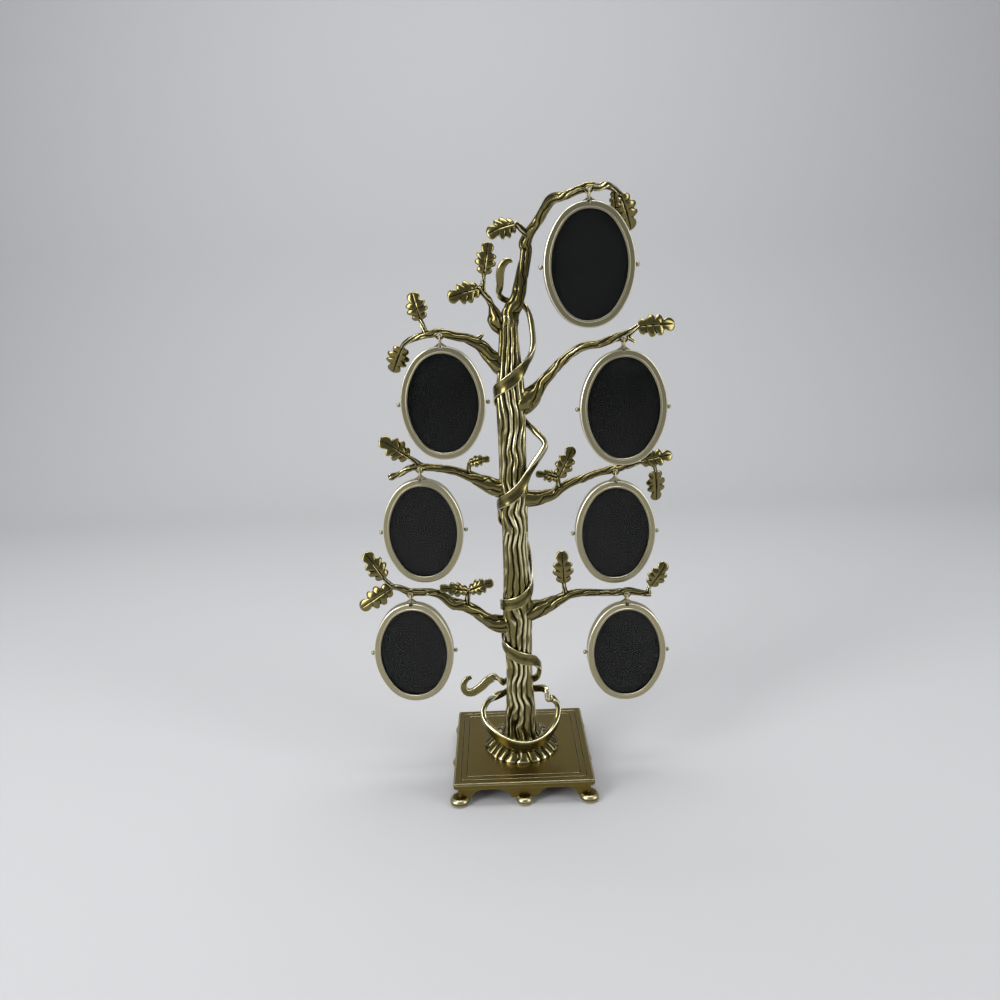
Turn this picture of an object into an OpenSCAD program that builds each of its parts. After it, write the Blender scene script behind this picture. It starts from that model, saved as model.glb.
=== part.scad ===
// Photo tree stand: a cast tree with a climbing vine on a square footed base.
// Seven two-sided oval picture frames hang from its branches on small wire rings.
// Millimetres. Z is up, the front is -Y, and the origin is on the table under the base's centre.

/* [Base] */
// Side of the square plate
plate_side = 75; // [74:0.5:77]
// Thickness of the plate
plate_thickness = 3; // [2.5:0.25:3.5]
// Distance of the outer engraved line from the plate's edge
line_inset = 3.7; // [3:0.1:4.5]
// Radius of a corner foot
corner_foot_r = 5.2; // [4.8:0.1:5.6]
// Radius of a middle foot
middle_foot_r = 4.4; // [4.3:0.1:4.8]

/* [Tree] */
// Depth of the grooves in the trunk's bark
bark_depth = 0.9; // [0.5:0.1:1]
// Number of ridges round the trunk
bark_ridges = 13; // [10:1:15]
// Number of petals round the root mound
mound_petals = 22; // [16:1:26]
// Thickness of the vine
vine_thickness = 1.7; // [1.2:0.1:1.7]

/* [Frames] */
// Width of the metal round a picture
bezel_width = 3.5; // [3:0.1:4]
// Thickness of one pane
pane_thickness = 1; // [0.6:0.1:1]
// Diameter of the ring's wire
wire_d = 0.9; // [0.7:0.1:0.9]
// Radius of the head of a side pin
pin_head_r = 1.2; // [1:0.1:1.3]

/* [Output] */
// Sub-part to build, or all of them

/* [Hidden] */
$fn = 48;

FRAME_PARTS = ["jump_ring", "front_bezel", "back_bezel", "panes", "photo_card", "side_pins"];
TREE_PARTS = ["base_plate", "base_bolt", "root_mound", "trunk", "climbing_vine", "root_vine",
    "top_branch", "knot_twig", "left_upper_branch", "right_upper_branch",
    "left_middle_branch", "right_middle_branch", "left_lower_branch", "right_lower_branch"];

// Colours of the finishes
BRASS = [0.45, 0.38, 0.2];
OLIVE = [0.4, 0.34, 0.17];
PALE = [0.6, 0.56, 0.43];
BLACK = [0.07, 0.07, 0.06];
CLEAR = [0.8, 0.85, 0.85, 0.35];

UP = [0, 0, 1];
FRONT = [0, -1, 0];

// Heights in the base
plate_top = 13;
plate_bottom = plate_top - plate_thickness;
mound_top = 20;
foot_height = 4.2;

// Hole in the branch for each frame's ring, from the top frame down
HOLES = [[38.3, -16, 306.6], [-34.2, -2, 243], [55.2, -12, 238.8], [-48.6, 2, 175],
    [53.9, 5, 169.6], [-57, -5, 108.7], [59, -3, 103.7]];
hole_r = 1;
eyelet_r = 2.4;
eyelet_depth = 3;

// Ring, measured from the branch's hole
ring_r = 3;
ring_z = 0.2 - ring_r;

// Oval frame: an outline of four arcs, round its centre
oval_z = -33.8;
oval_half_height = 28.5;
oval_half_width = 21.5;
end_r = 18;
end_offset = oval_half_height - end_r;
side_r = (end_offset * end_offset + oval_half_width * oval_half_width - end_r * end_r)
    / (2 * (oval_half_width - end_r));
side_offset = side_r - oval_half_width;
lug_hole_z = oval_half_height - 0.2;
lug_hole_r = 1.05;

// Depths in a frame, from the plane between its halves
half_gap = 0.15;
face_depth = 2.9;
face_back = 2.2;
wall = 1.5;

// Clearance between the wood of the trunk and what is wrapped round it or set on it
seat_gap = 0.1;

// Vector helpers
function unit(v) = v / norm(v);
function xyz(p) = [p.x, p.y, p.z];
function square_to(v, axis) = unit(v - (v * axis) * axis);

// A point part of the way from row i to row i + 1 on a smooth curve through all the rows
function on_span(rows, i, t) =
    let (last = len(rows) - 1, a = rows[max(i - 1, 0)], b = rows[i], c = rows[i + 1],
        d = rows[min(i + 2, last)])
    0.5 * (2 * b + (c - a) * t + (2 * a - 5 * b + 4 * c - d) * t * t + (3 * b - a - 3 * c + d) * t * t * t);
function smooth(rows, steps) = [
    for (i = [0:len(rows) - 2]) for (k = [0:steps - 1]) on_span(rows, i, k / steps),
    rows[len(rows) - 1]];
function heading(rows, i) = unit(xyz(rows[min(i + 1, len(rows) - 1)]) - xyz(rows[max(i - 1, 0)]));

// A closed skin over rings that each have the same number of points
module skin(rings) {
    n = len(rings[0]);
    last = len(rings) - 1;
    sides = [for (i = [0:last - 1]) for (j = [0:n - 1])
        let (a = i * n + j, b = i * n + (j + 1) % n)
        each [[a, a + n, b + n], [a, b + n, b]]];
    polyhedron(
        points = [for (ring = rings) each ring],
        faces = concat([[for (j = [0:n - 1]) j]], sides, [[for (j = [n - 1:-1:0]) last * n + j]]));
}

// A grooved limb through rows of [x, y, z, radius]
module limb(rows, steps = 2, sides = 8, groove = 0.1) {
    path = smooth(rows, steps);
    skin([for (i = [0:len(path) - 1])
        let (t = heading(path, i), u = square_to(FRONT, t), v = cross(t, u))
        [for (j = [0:sides - 1])
            let (a = 360 * j / sides + 9 * i, r = path[i][3] * (1 + groove * (j % 2 == 0 ? 1 : -1)))
            xyz(path[i]) + r * (cos(a) * u + sin(a) * v)]]);
}

// A cupped ribbon with raised rims, through rows of [x, y, z, half width, facing x, y, z]
module ribbon(path) {
    half = vine_thickness / 2;
    section = [[1, 0.2], [0.86, 1], [0.55, 0.4], [-0.55, 0.4], [-0.86, 1], [-1, 0.2], [-0.55, -1], [0.55, -1]];
    skin([for (i = [0:len(path) - 1])
        let (t = heading(path, i), u = square_to([path[i][4], path[i][5], path[i][6]], t), v = cross(t, u))
        [for (s = section) xyz(path[i]) + s[1] * half * u + s[0] * path[i][3] * v]]);
}

// A lobed oak leaf from its stem to its tip, cupped along a raised midrib
module leaf(stem, tip, width, face = FRONT, bow = 1.5) {
    size = norm(tip - stem);
    d = (tip - stem) / size;
    n = square_to(face, d);
    w = cross(n, d);
    lobes = 3.5;
    lobe_at = [0, 0.16, 0.5, 0.84];
    lobe_size = [0.45, 0.88, 1, 0.88];
    stations = 4 * lobes;
    skin([for (i = [0:stations])
        let (s = (floor(i / 4) + lobe_at[i % 4]) / (lobes + 0.02),
            h = max(0.5, width / 2 * pow(sin(180 * pow(s, 0.75)), 0.5) * lobe_size[i % 4]),
            mid = stem + d * size * s + n * bow * sin(180 * s),
            drop = -0.25 * h)
        [mid + w * h + n * (drop + 0.25), mid + n * 0.7, mid - w * h + n * (drop + 0.25),
            mid - w * h + n * (drop - 0.25), mid - n * 0.4, mid + w * h + n * (drop - 0.25)]]);
}

// Turns something that stands along Z to point along d
module point_along(d) {
    rotate([0, acos(unit(d).z), atan2(d.y, d.x)]) children();
}

// Round peg at a limb's root, or the socket for it in the trunk
module peg(root, extra = 0) {
    translate(root[0]) point_along(root[1])
        translate([0, 0, -extra]) cylinder(r = root[2] + extra, h = root[3] + extra);
}

// Thick disc at the place where a ring hangs, and the ring's hole in it
module eyelet(n) {
    translate(HOLES[n - 1]) rotate([90, 0, 0]) cylinder(r = eyelet_r, h = eyelet_depth, center = true);
}
module ring_hole(n) {
    translate(HOLES[n - 1]) rotate([90, 0, 0]) cylinder(r = hole_r, h = 8, center = true);
}

// Base plate on its feet
module rounded_square(side, r) {
    square([side, side - 2 * r], center = true);
    square([side - 2 * r, side], center = true);
    for (x = [-1, 1]) for (y = [-1, 1])
        translate([x, y] * (side / 2 - r)) circle(r);
}

module engraved_line(inset) {
    side = plate_side - 2 * inset;
    translate([0, 0, plate_top - 0.35]) linear_extrude(1) difference() {
        rounded_square(side, 1.5);
        rounded_square(side - 1, 1);
    }
}

module bun_foot(r) {
    round_r = foot_height / 2;
    rotate_extrude() {
        translate([r - round_r, round_r]) circle(round_r);
        square([r - round_r, foot_height]);
    }
}

module base_plate() color(OLIVE) {
    apron = plate_side - 4;
    chamfer = 0.8;
    foot_at = plate_side / 2 - 3;
    difference() {
        translate([0, 0, plate_bottom]) linear_extrude(plate_thickness) rounded_square(plate_side, 2.2);
        for (a = [0:90:270]) rotate([0, 0, a]) translate([plate_side / 2, 0, plate_top])
            rotate([0, 45, 0]) cube([chamfer * sqrt(2), plate_side + 2, chamfer * sqrt(2)], center = true);
        engraved_line(line_inset);
        engraved_line(line_inset + 3.1);
        translate([0, 0, plate_bottom - 1]) cylinder(r = 2.2, h = plate_thickness + 2);
    }
    difference() {
        translate([0, 0, 3]) linear_extrude(plate_bottom - 2.5) difference() {
            rounded_square(apron, 2);
            rounded_square(apron - 4, 1);
        }
        for (a = [0, 90]) rotate([90, 0, a]) linear_extrude(plate_side + 2, center = true)
            for (x = [-1, 1]) polygon([[7 * x, 2], [7.4 * x, 4.5], [9 * x, 6.4], [12.5 * x, 8.3],
                [23 * x, 8.3], [26 * x, 7], [28 * x, 5], [28.5 * x, 2]]);
    }
    for (a = [0:90:270]) rotate([0, 0, a]) {
        translate([foot_at, foot_at, 0]) bun_foot(corner_foot_r);
        translate([0, -plate_side / 2 + 2, 0]) bun_foot(middle_foot_r);
    }
}

module base_bolt() color(BRASS) {
    translate([0, 0, plate_bottom - 2.6]) cylinder(r = 4.5, h = 2.5);
    translate([0, 0, plate_bottom - 1]) cylinder(r = 1.9, h = 20);
}

// Root mound: a low collar of petals under the trunk
module root_mound() color(BRASS) {
    rings = [[18.6, plate_top], [20.1, plate_top + 1], [19.8, plate_top + 2.8], [17.6, plate_top + 4.8],
        [14.5, mound_top - 0.8], [12, mound_top]];
    difference() {
        skin([for (ring = rings) [for (j = [0:2 * mound_petals - 1])
            let (a = 180 * j / mound_petals, r = ring[0] * (j % 2 == 0 ? 1 : 0.92))
            [r * cos(a), r * sin(a), ring[1]]]]);
        translate([0, 0, plate_top - 1]) cylinder(r = 2.2, h = 10);
    }
}

// Trunk, as rows of [height, radius]
TRUNK = [[mound_top, 11.6], [23, 9.7], [28, 8.5], [36, 7.8], [46, 7.2], [58, 6.8], [77, 7], [92, 7.4],
    [104, 7.2], [116, 6.5], [130, 6.3], [146, 6.6], [160, 7.1], [174, 6.8], [188, 6.7], [204, 7],
    [214, 6.8], [223, 6.1], [230, 5.4], [237, 4.7], [244, 4.3], [251, 4.2]];

// A branch's root in the trunk: [inner end, direction, radius, length]
LEFT_UPPER_ROOT = [[-2.6, 0, 225.4], [-0.75, 0, 0.66], 1.9, 9];
RIGHT_UPPER_ROOT = [[2.6, 0, 208], [0.9, -0.05, 0.43], 2.2, 9];
LEFT_MIDDLE_ROOT = [[-2.6, 0, 162.4], [-0.96, 0, 0.28], 2.2, 9];
RIGHT_MIDDLE_ROOT = [[2.6, 0, 157.2], [1, 0, 0.04], 2.2, 9];
LEFT_LOWER_ROOT = [[-2.6, 0, 85.4], [-0.98, 0, 0.2], 2.4, 9];
RIGHT_LOWER_ROOT = [[2.6, 0, 93], [0.97, 0, 0.24], 2.4, 9];
KNOT_ROOT = [[-1.2, 0, 240.5], [-0.62, 0, 0.78], 1.4, 7.5];
TOP_ROOT = [[0.6, 0, 243.5], [0.1, 0, 1], 1.7, 11];
ROOTS = [LEFT_UPPER_ROOT, RIGHT_UPPER_ROOT, LEFT_MIDDLE_ROOT, RIGHT_MIDDLE_ROOT, LEFT_LOWER_ROOT,
    RIGHT_LOWER_ROOT, KNOT_ROOT, TOP_ROOT];

module trunk() color(BRASS) {
    rows = smooth(TRUNK, 2);
    difference() {
        skin([for (row = rows) [for (j = [0:2 * bark_ridges - 1])
            let (a = 180 * j / bark_ridges + 7 * sin(9 * row[0] + 50 * j),
                r = row[1] + bark_depth * (j % 2 == 0 ? 0.5 : -0.5))
            [r * cos(a), r * sin(a), row[0]]]]);
        for (root = ROOTS) peg(root, seat_gap / 2);
        translate([0, 0, mound_top - 1]) cylinder(r = 2, h = 13);
    }
}

// What is left of a branch outside the trunk, between two heights, with its peg
module rooted(root, radius, low, high) {
    difference() {
        children();
        translate([0, 0, low]) cylinder(r = radius, h = high - low);
    }
    peg(root);
}

// Top branch: it carries on from the trunk, arches to the right and droops
module top_branch() color(BRASS) {
    difference() {
        rooted(TOP_ROOT, 8, 236, TRUNK[len(TRUNK) - 1][0] + seat_gap) {
            limb([[0, 0, 247, 4.6], [1.4, 0.1, 252.4, 4.3], [5, 1, 259.6, 3.6],
                [8, 6.2, 271.8, 2.9], [10, 7.6, 281.5, 2.8], [9.6, 6.8, 285.2, 2.9],
                [11.6, 4.6, 289.9, 2.5], [15.8, 0, 294.8, 2.2], [19, -4, 299.7, 2.2],
                [21.9, -8.5, 303.3, 2.3], [27.4, -13.2, 304.1, 1.9], [32.4, -15.3, 305.8, 1.7],
                [38.2, -16, 307.4, 1.9], [42.7, -15.5, 306.9, 1.5], [46.6, -13.5, 307.9, 1.5],
                [50.7, -10.5, 306.7, 1.3], [54.3, -7.5, 304.7, 1]]);
            eyelet(1);
            limb([[11, 4, 288.6, 1.7], [7.7, 3.5, 291.8, 1.4], [4.9, 3, 295, 0.9]], sides = 6);
            leaf([5.2, 3, 294.2], [-8.9, 0, 289.3], 12, [0, -1, 0.4]);
            leaf([53.8, -7.8, 305.2], [60.7, 0.5, 289.2], 12);
            leaf([50.9, -10, 306.4], [53.4, -2.5, 296.9], 6, [-0.3, -1, 0]);
        }
        ring_hole(1);
    }
}

module knot_twig() color(BRASS) {
    rooted(KNOT_ROOT, 5.2, 235, 260) {
        limb([[-4.2, 0, 242, 2.4], [-5.6, -0.6, 246.4, 3.5], [-6.2, -0.9, 250.4, 3.8],
            [-6.8, -1, 254, 2.8], [-7.7, -1.3, 257, 1.7], [-9.4, -2, 259.6, 1.5],
            [-12.1, -3, 262.8, 1.4], [-13.9, -4, 265.5, 1.1]]);
        limb([[-12.1, -3, 262.8, 1.2], [-11.6, -3, 268, 0.9], [-11.1, -3, 272, 0.7]], sides = 6);
        leaf([-11.3, -3, 270.4], [-8.4, -2, 286], 10.5);
        leaf([-13.2, -3.6, 264.6], [-29, -7, 260.3], 11.5, [0.2, -1, 0.3]);
    }
}

module left_upper_branch() color(BRASS) {
    difference() {
        rooted(LEFT_UPPER_ROOT, 6.9, 215, 240) {
            limb([[-4.4, 0, 226.4, 4.4], [-8, 0, 229.9, 3.9], [-10.8, 0, 233, 3.4],
                [-14.2, 0, 237.2, 2.8], [-21, -0.5, 240.8, 2.3], [-27, -1.4, 242.4, 2],
                [-34, -2, 244.2, 2], [-38, -2, 243.7, 1.8], [-41.5, -1.6, 243.1, 1.6],
                [-47.2, 0.4, 241.8, 1.4], [-51.6, 3.2, 239.7, 1.2], [-54.1, 5.4, 237.5, 0.9]]);
            limb([[-16.6, 0, 239.2, 1.4], [-14, -0.6, 241.6, 0.9], [-12.6, -1, 242.6, 0.4]], sides = 6);
            eyelet(2);
            limb([[-40.8, -2, 243.4, 1.3], [-42.4, -1, 248, 1], [-43.6, 0, 251.5, 0.8]], sides = 6);
            leaf([-43.2, -0.3, 250], [-47, 1, 264], 11);
            leaf([-53.7, 5, 238], [-60.6, 13.5, 224.5], 12, [0.2, -1, 0.2]);
        }
        ring_hole(2);
    }
}

module right_upper_branch() color(BRASS) {
    difference() {
        rooted(RIGHT_UPPER_ROOT, 7.5, 198, 222) {
            limb([[5, 0, 207.6, 6.4], [9.8, 0, 210.4, 5.5], [13.4, -1, 214.4, 3.7],
                [17, -2, 218.8, 2.7], [21.7, -4, 223.8, 2.3], [25.6, -6, 228.2, 2.1],
                [32.1, -8, 233.2, 1.9], [37.3, -10, 235.6, 1.9], [43.5, -11, 236.4, 1.8],
                [49.2, -12, 238.4, 1.8], [54.8, -12, 240.2, 1.8], [58.4, -12, 241.6, 1.4],
                [62.4, -11, 244.3, 0.9]]);
            limb([[56, -12, 240.2, 1.3], [59, -12, 238.2, 0.8], [61, -12, 236.6, 0.4]], sides = 6);
            eyelet(3);
            leaf([61.6, -11.2, 243.8], [80.7, -9, 244.4], 11.5, [0, -1, 0.3]);
        }
        ring_hole(3);
    }
}

module left_middle_branch() color(BRASS) {
    difference() {
        rooted(LEFT_MIDDLE_ROOT, 7.6, 150, 178) {
            limb([[-4.5, 0, 162.6, 4.6], [-9.5, 0, 164, 4.6], [-15.3, 0, 167, 3.7],
                [-22.2, 0, 170.4, 2.7], [-29.2, 0.5, 173.2, 2.2], [-35.9, 1, 174.8, 1.9],
                [-42.2, 1.5, 175.4, 1.8], [-48.5, 2, 176.2, 1.8], [-54.2, 2, 175.3, 1.5],
                [-58.8, 2, 172.8, 1.3], [-63.4, 2, 171.5, 1.5]]);
            translate([-63.6, 2, 171.4]) sphere(1.8);
            limb([[-23.4, 0, 171.6, 1.3], [-23, -0.5, 175, 1], [-22.6, -1, 178.4, 0.8]], sides = 6);
            eyelet(4);
            limb([[-47.4, 2, 176.2, 1.4], [-51.4, 1.6, 179.6, 1.2], [-54.4, 1, 182, 0.8]], sides = 6);
            leaf([-53.4, 1, 181.2], [-68.2, 0, 191.6], 12, [0.2, -1, 0.3]);
            leaf([-23.1, -1, 177.6], [-11.6, -3, 179.9], 6.5, [0, -1, 0.5]);
        }
        ring_hole(4);
    }
}

module right_middle_branch() color(BRASS) {
    difference() {
        rooted(RIGHT_MIDDLE_ROOT, 7.6, 145, 172) {
            limb([[4.6, 0, 157.4, 4.4], [9, 0, 157.4, 4.2], [14.5, 0.5, 157.7, 3.7],
                [20.2, 1, 158.9, 2.9], [24.5, 2, 161.6, 2.3], [29.7, 3, 164.2, 2],
                [36.9, 4, 166.2, 1.9], [43.9, 5, 168.4, 1.8], [53.7, 5, 170.6, 1.9],
                [61.1, 5, 172, 1.5], [67.6, 5, 174, 1]]);
            limb([[67.6, 5, 173.7, 1.2], [71.7, 7, 172.6, 1.1], [75.4, 9.2, 170.3, 0.9],
                [76.7, 11.6, 167, 0.7]], sides = 6);
            limb([[23.6, 1.9, 160.8, 1.4], [23.6, 1.4, 165, 1.1], [23.4, 1, 168.6, 0.9]], sides = 6);
            eyelet(5);
            leaf([67, 5, 173.9], [84.2, 6, 176.8], 10, [0, -1, 0.4]);
            leaf([76.5, 11.4, 167.9], [79.5, 22.5, 148], 10.5, bow = 1);
            leaf([23.6, 1, 167.6], [11.6, -1, 170.8], 7, [0, -1, 0.5]);
            leaf([23.5, 1, 167.4], [31.4, 2, 183.8], 10);
        }
        ring_hole(5);
    }
}

module left_lower_branch() color(BRASS) {
    difference() {
        rooted(LEFT_LOWER_ROOT, 7.9, 75, 98) {
            limb([[-4.6, 0, 86, 4.5], [-9.5, 0, 87, 4.7], [-13.5, -0.4, 88.6, 4.2],
                [-18.3, -1, 91.6, 3.2], [-23.6, -2, 96.4, 2.9], [-28.6, -3, 99.6, 3],
                [-34.2, -4, 101.4, 3], [-39.8, -4.4, 105.8, 2.2], [-44.6, -5, 108.6, 1.9],
                [-51.9, -5, 109.2, 1.8], [-57.3, -5, 109.6, 1.8], [-63, -5, 112, 1.5],
                [-67.2, -5, 112.7, 1.2]]);
            limb([[-27.2, -2.8, 100, 1.5], [-26.4, -3.6, 105.5, 1.2], [-25.8, -4, 109.6, 1]], sides = 6);
            eyelet(6);
            limb([[-66, -5, 112.6, 1.2], [-69.4, -5, 116, 1], [-71, -5, 118.6, 0.8]], sides = 6);
            leaf([-70, -5, 117], [-79.8, -4, 132], 11.5, [0.3, -1, 0.2]);
            leaf([-66.4, -5, 112.6], [-84.2, -6, 101.4], 11.5, [0.2, -1, 0.4]);
            leaf([-25.8, -4, 108.6], [-41.5, -7.5, 112], 8, [0, -1, 0.5]);
            leaf([-26, -4, 108.6], [-12.4, -5.5, 113.6], 9, [0, -1, 0.5]);
        }
        ring_hole(6);
    }
}

module right_lower_branch() color(BRASS) {
    difference() {
        rooted(RIGHT_LOWER_ROOT, 7.9, 82, 108) {
            limb([[4.6, 0, 93.6, 5.2], [9.5, 0, 94.8, 5], [14.8, -1, 96.6, 4.2],
                [21.9, -2, 100.6, 3], [28.3, -3, 103.8, 2.3], [37.2, -3, 104.8, 1.9],
                [45.8, -3, 104.2, 1.7], [53.6, -3, 104.2, 1.7], [59.4, -3, 104.8, 1.8],
                [66, -3, 103.6, 1.6], [70.4, -3, 102.8, 1.4], [72.6, -3, 102.4, 1]]);
            limb([[26.3, -2.7, 103.4, 1.3], [25.4, -3, 108.6, 1], [25.2, -3, 112, 0.8]], sides = 6);
            limb([[70.6, -3, 102.8, 1.1], [71.1, -3, 106, 0.9], [72.4, -3, 108.4, 0.7]], sides = 6);
            eyelet(7);
            leaf([25.3, -3, 110], [24.4, -4, 129.2], 11.5);
            leaf([71.6, -3, 106.8], [79.6, -4, 120.6], 10.5);
        }
        ring_hole(7);
    }
}

// Climbing vine, as rows of [angle round the trunk, distance from its axis, height, half width]
VINE = [[255, 9.4, 50.4, 2], [215, 9, 49.4, 1.8], [160, 8.9, 49.4, 1.8], [118, 9, 51, 1.9],
    [98, 10.8, 55, 2], [88, 11.4, 61, 2.3], [66, 9.4, 66, 2.9], [30, 8.6, 68.6, 3.3],
    [-5, 8.6, 71, 3.3], [-45, 8.7, 74.4, 2.9], [-90, 8.8, 77.4, 2.6], [-135, 8.9, 82, 2.3],
    [-155, 9, 88.6, 2.3], [-135, 9, 95, 2.3], [-95, 9, 98.4, 2.7], [-50, 8.9, 100.4, 3.1],
    [0, 8.8, 102.6, 3.2], [40, 8.7, 106, 3.1], [75, 8.5, 111, 2.7], [95, 8.3, 117.4, 2.3],
    [112, 8.1, 125, 1.9], [135, 8, 132, 1.9], [180, 8, 138, 1.9], [230, 8.1, 143.4, 2],
    [262, 8.4, 148.4, 2.2], [278, 8.6, 153.4, 2.4], [305, 8.7, 156.8, 2.8], [340, 8.8, 159.6, 3.2],
    [375, 8.7, 163.8, 3.2], [405, 8.8, 169.4, 2.9], [422, 11.5, 176, 2.6], [433, 16, 183, 2.3],
    [440, 17.2, 187.2, 2], [455, 12.4, 192.6, 2], [475, 8.8, 196.6, 2], [520, 8.7, 201, 2],
    [570, 8.4, 205.6, 2.2], [610, 8.4, 209, 2.3], [635, 8.4, 212.4, 2.6], [660, 8.5, 214.8, 2.9],
    [705, 8.3, 218.4, 3.2], [745, 8.2, 222.6, 3.2], [778, 8.8, 227, 2.8], [795, 11, 231.4, 2.3],
    [805, 12.3, 237, 2], [812, 12, 244, 1.9], [820, 11, 250.6, 1.8], [835, 9.4, 255.2, 1.7],
    [870, 7.8, 257.4, 1.5], [915, 6.8, 259, 1.5], [950, 5.6, 262, 1.5]];
VINE_TOP = [[-3.4, 1.4, 266, 1.8, 0, 1, 0], [-3.4, -0.6, 270.4, 2.1, 0, 1, 0],
    [-2.4, -2.2, 274.2, 2, 0, 1, 0], [0.2, -3.2, 276.8, 1.5, 0, 1, 0], [3, -4.4, 276.6, 0.7, 0, 1, 0]];
VINE_TAIL = [[-26.6, -4, 57.6, 0.9, 0, -1, 0], [-29.6, -4, 56.2, 1.4, 0, -1, 0],
    [-31.4, -4, 52.4, 1.8, 0, -1, 0], [-30, -3.4, 48.6, 2, 0, -1, 0],
    [-26.4, -2.8, 47.8, 2.2, 0, -1, 0], [-21.7, -2, 50.4, 2.3, 0, -1, 0],
    [-17.8, -1, 53.8, 2.4, 0, -1, 0], [-14.4, 0.4, 54.8, 2.4, -0.5, -0.8, 0]];

// Vine round the foot of the trunk, in the same rows as the climbing vine
ROOT_VINE = [[232, 9.2, 43.4, 1.8], [250, 9.8, 43.2, 1.9], [268, 13.8, 42.8, 2], [272, 18.2, 41, 2.1],
    [279, 21.4, 36.8, 2.3], [290, 21.2, 31.4, 2.5], [310, 19.2, 27, 2.8], [335, 17.8, 23.8, 2.9],
    [362, 17.2, 22, 2.9], [390, 17.6, 22.4, 2.8], [417, 19, 25.6, 2.5], [436, 21, 30.6, 2.3],
    [446, 21.4, 36.6, 2.1], [448, 18.6, 40.6, 2], [444, 15.8, 41.8, 2], [446, 15.4, 45.4, 2],
    [456, 13.6, 46.2, 2], [480, 9.6, 44.6, 1.9], [510, 9.2, 43.8, 1.8]];

function round_trunk(row) =
    let (out = [sin(row[0]), -cos(row[0]), 0])
    concat(row[1] * out + row[2] * UP, [row[3]], out);
function wound(rows) = [for (row = smooth(rows, 3)) round_trunk(row)];

module climbing_vine() color(BRASS) {
    ribbon(concat(smooth(VINE_TAIL, 3), wound(VINE), smooth(VINE_TOP, 3)));
}

module root_vine() color(BRASS) ribbon(wound(ROOT_VINE));

// Frame parts, drawn round the oval's centre and hung from their branch's hole
module hung(n) translate(HOLES[n - 1]) children();
module in_frame(n) hung(n) translate([0, 0, oval_z]) children();

// Stands the children up, with their height along the depth to the front
module facing_front() rotate([90, 0, 0]) children();
module facing_back() mirror([0, 1, 0]) facing_front() children();

// The oval, inset from its outline
module oval(inset) {
    join_y = end_offset + (end_r - inset) * end_offset / norm([end_offset, side_offset]);
    intersection() {
        for_side(-1) circle(side_r - inset, $fn = 144);
        for_side(1) circle(side_r - inset, $fn = 144);
        square([3 * oval_half_width, 2 * join_y], center = true);
    }
    for (s = [-1, 1]) intersection() {
        translate([0, s * end_offset]) circle(end_r - inset, $fn = 96);
        translate([0, s * (join_y + 20)]) square([3 * oval_half_width, 40], center = true);
    }
}
module for_side(s) translate([s * side_offset, 0]) children();

// A bezel's section, where r is the arc's radius at the outline
module bezel_section(r) {
    corner = 0.7;
    lip = 0.5;
    inner = r - bezel_width;
    polygon(concat([[inner, face_back], [r - wall, face_back], [r - wall, half_gap], [r, half_gap]],
        [for (a = [0:22.5:90]) [r - corner + corner * cos(a), face_depth - corner + corner * sin(a)]],
        [for (a = [0:45:180]) [inner + lip + lip * cos(a), face_depth + 0.6 * lip * sin(a)]]));
}

// The whole bezel: each arc's turned section, cut where it meets the next arc
module bezel_ring() {
    end_centre = [0, end_offset];
    side_centre = [-side_offset, 0];
    corner = end_centre + 80 * unit(end_centre - side_centre);
    lap = [0, 0.002];
    for (turn = [0, 180]) rotate([0, 0, turn]) {
        arc(end_centre, [corner, [-corner.x, corner.y]]) bezel_section(end_r);
        arc(side_centre, [-lap - [-corner.x, corner.y], corner + lap]) bezel_section(side_r);
    }
}
module arc(centre, corners) {
    intersection() {
        translate(centre) rotate_extrude($fn = 144) children();
        translate([0, 0, -1]) linear_extrude(6) polygon(concat([centre], corners));
    }
}

// Half a frame: its bezel, the lug that the ring passes through and half of each pin's seat
module half_frame(pin_seat_r) {
    difference() {
        union() {
            bezel_ring();
            translate([0, 0, 0.5]) linear_extrude(1.2) difference() {
                translate([0, lug_hole_z]) {
                    circle(1.9);
                    polygon([[-4.5, -0.9], [4.5, -0.9], [1.9, 0.9], [-1.9, 0.9]]);
                }
                oval(wall / 2);
            }
        }
        translate([0, lug_hole_z, -1]) cylinder(r = lug_hole_r, h = 6);
        rotate([0, 90, 0]) cylinder(r = pin_seat_r, h = 60, center = true);
    }
}

module jump_ring() color(PALE) translate([0, 0, ring_z]) rotate([0, 90, 0])
    rotate_extrude() translate([ring_r, 0]) circle(d = wire_d);

module front_bezel() color(PALE) facing_front() half_frame(0.8);
module back_bezel() color(PALE) facing_back() half_frame(0.52);

module panes() color(CLEAR) {
    facing_front() translate([0, 0, 0.9]) linear_extrude(pane_thickness) oval(wall + 0.5);
    facing_back() translate([0, 0, 1.15]) linear_extrude(pane_thickness) oval(wall + 0.5);
}

module photo_card() color(BLACK) facing_front() translate([0, 0, -1.1]) linear_extrude(1.95) oval(2.6);

module side_pins() color(PALE) for (s = [0, 180]) rotate([0, 0, s]) rotate([0, 90, 0]) {
    translate([0, 0, oval_half_width - 1.9]) cylinder(r = 0.5, h = 3.8);
    translate([0, 0, oval_half_width + 1.7]) cylinder(r = pin_head_r, h = 0.5);
}

base_plate();
base_bolt();
root_mound();
trunk();
climbing_vine();
root_vine();
top_branch();
knot_twig();
left_upper_branch();
right_upper_branch();
left_middle_branch();
right_middle_branch();
left_lower_branch();
right_lower_branch();
for (n = [1:7]) {
    hung(n) jump_ring();
    in_frame(n) front_bezel();
    in_frame(n) back_bezel();
    in_frame(n) panes();
    in_frame(n) photo_card();
    in_frame(n) side_pins();
}
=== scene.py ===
# %% [markdown]
# A photo tree stand: a cast tree on a square footed base, with seven oval picture frames that hang
# from its branches on wire rings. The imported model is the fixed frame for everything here. It holds
# every piece at its real size and place, in metres, so a finished piece goes exactly where its plain
# solid is and then stands for it.

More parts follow.
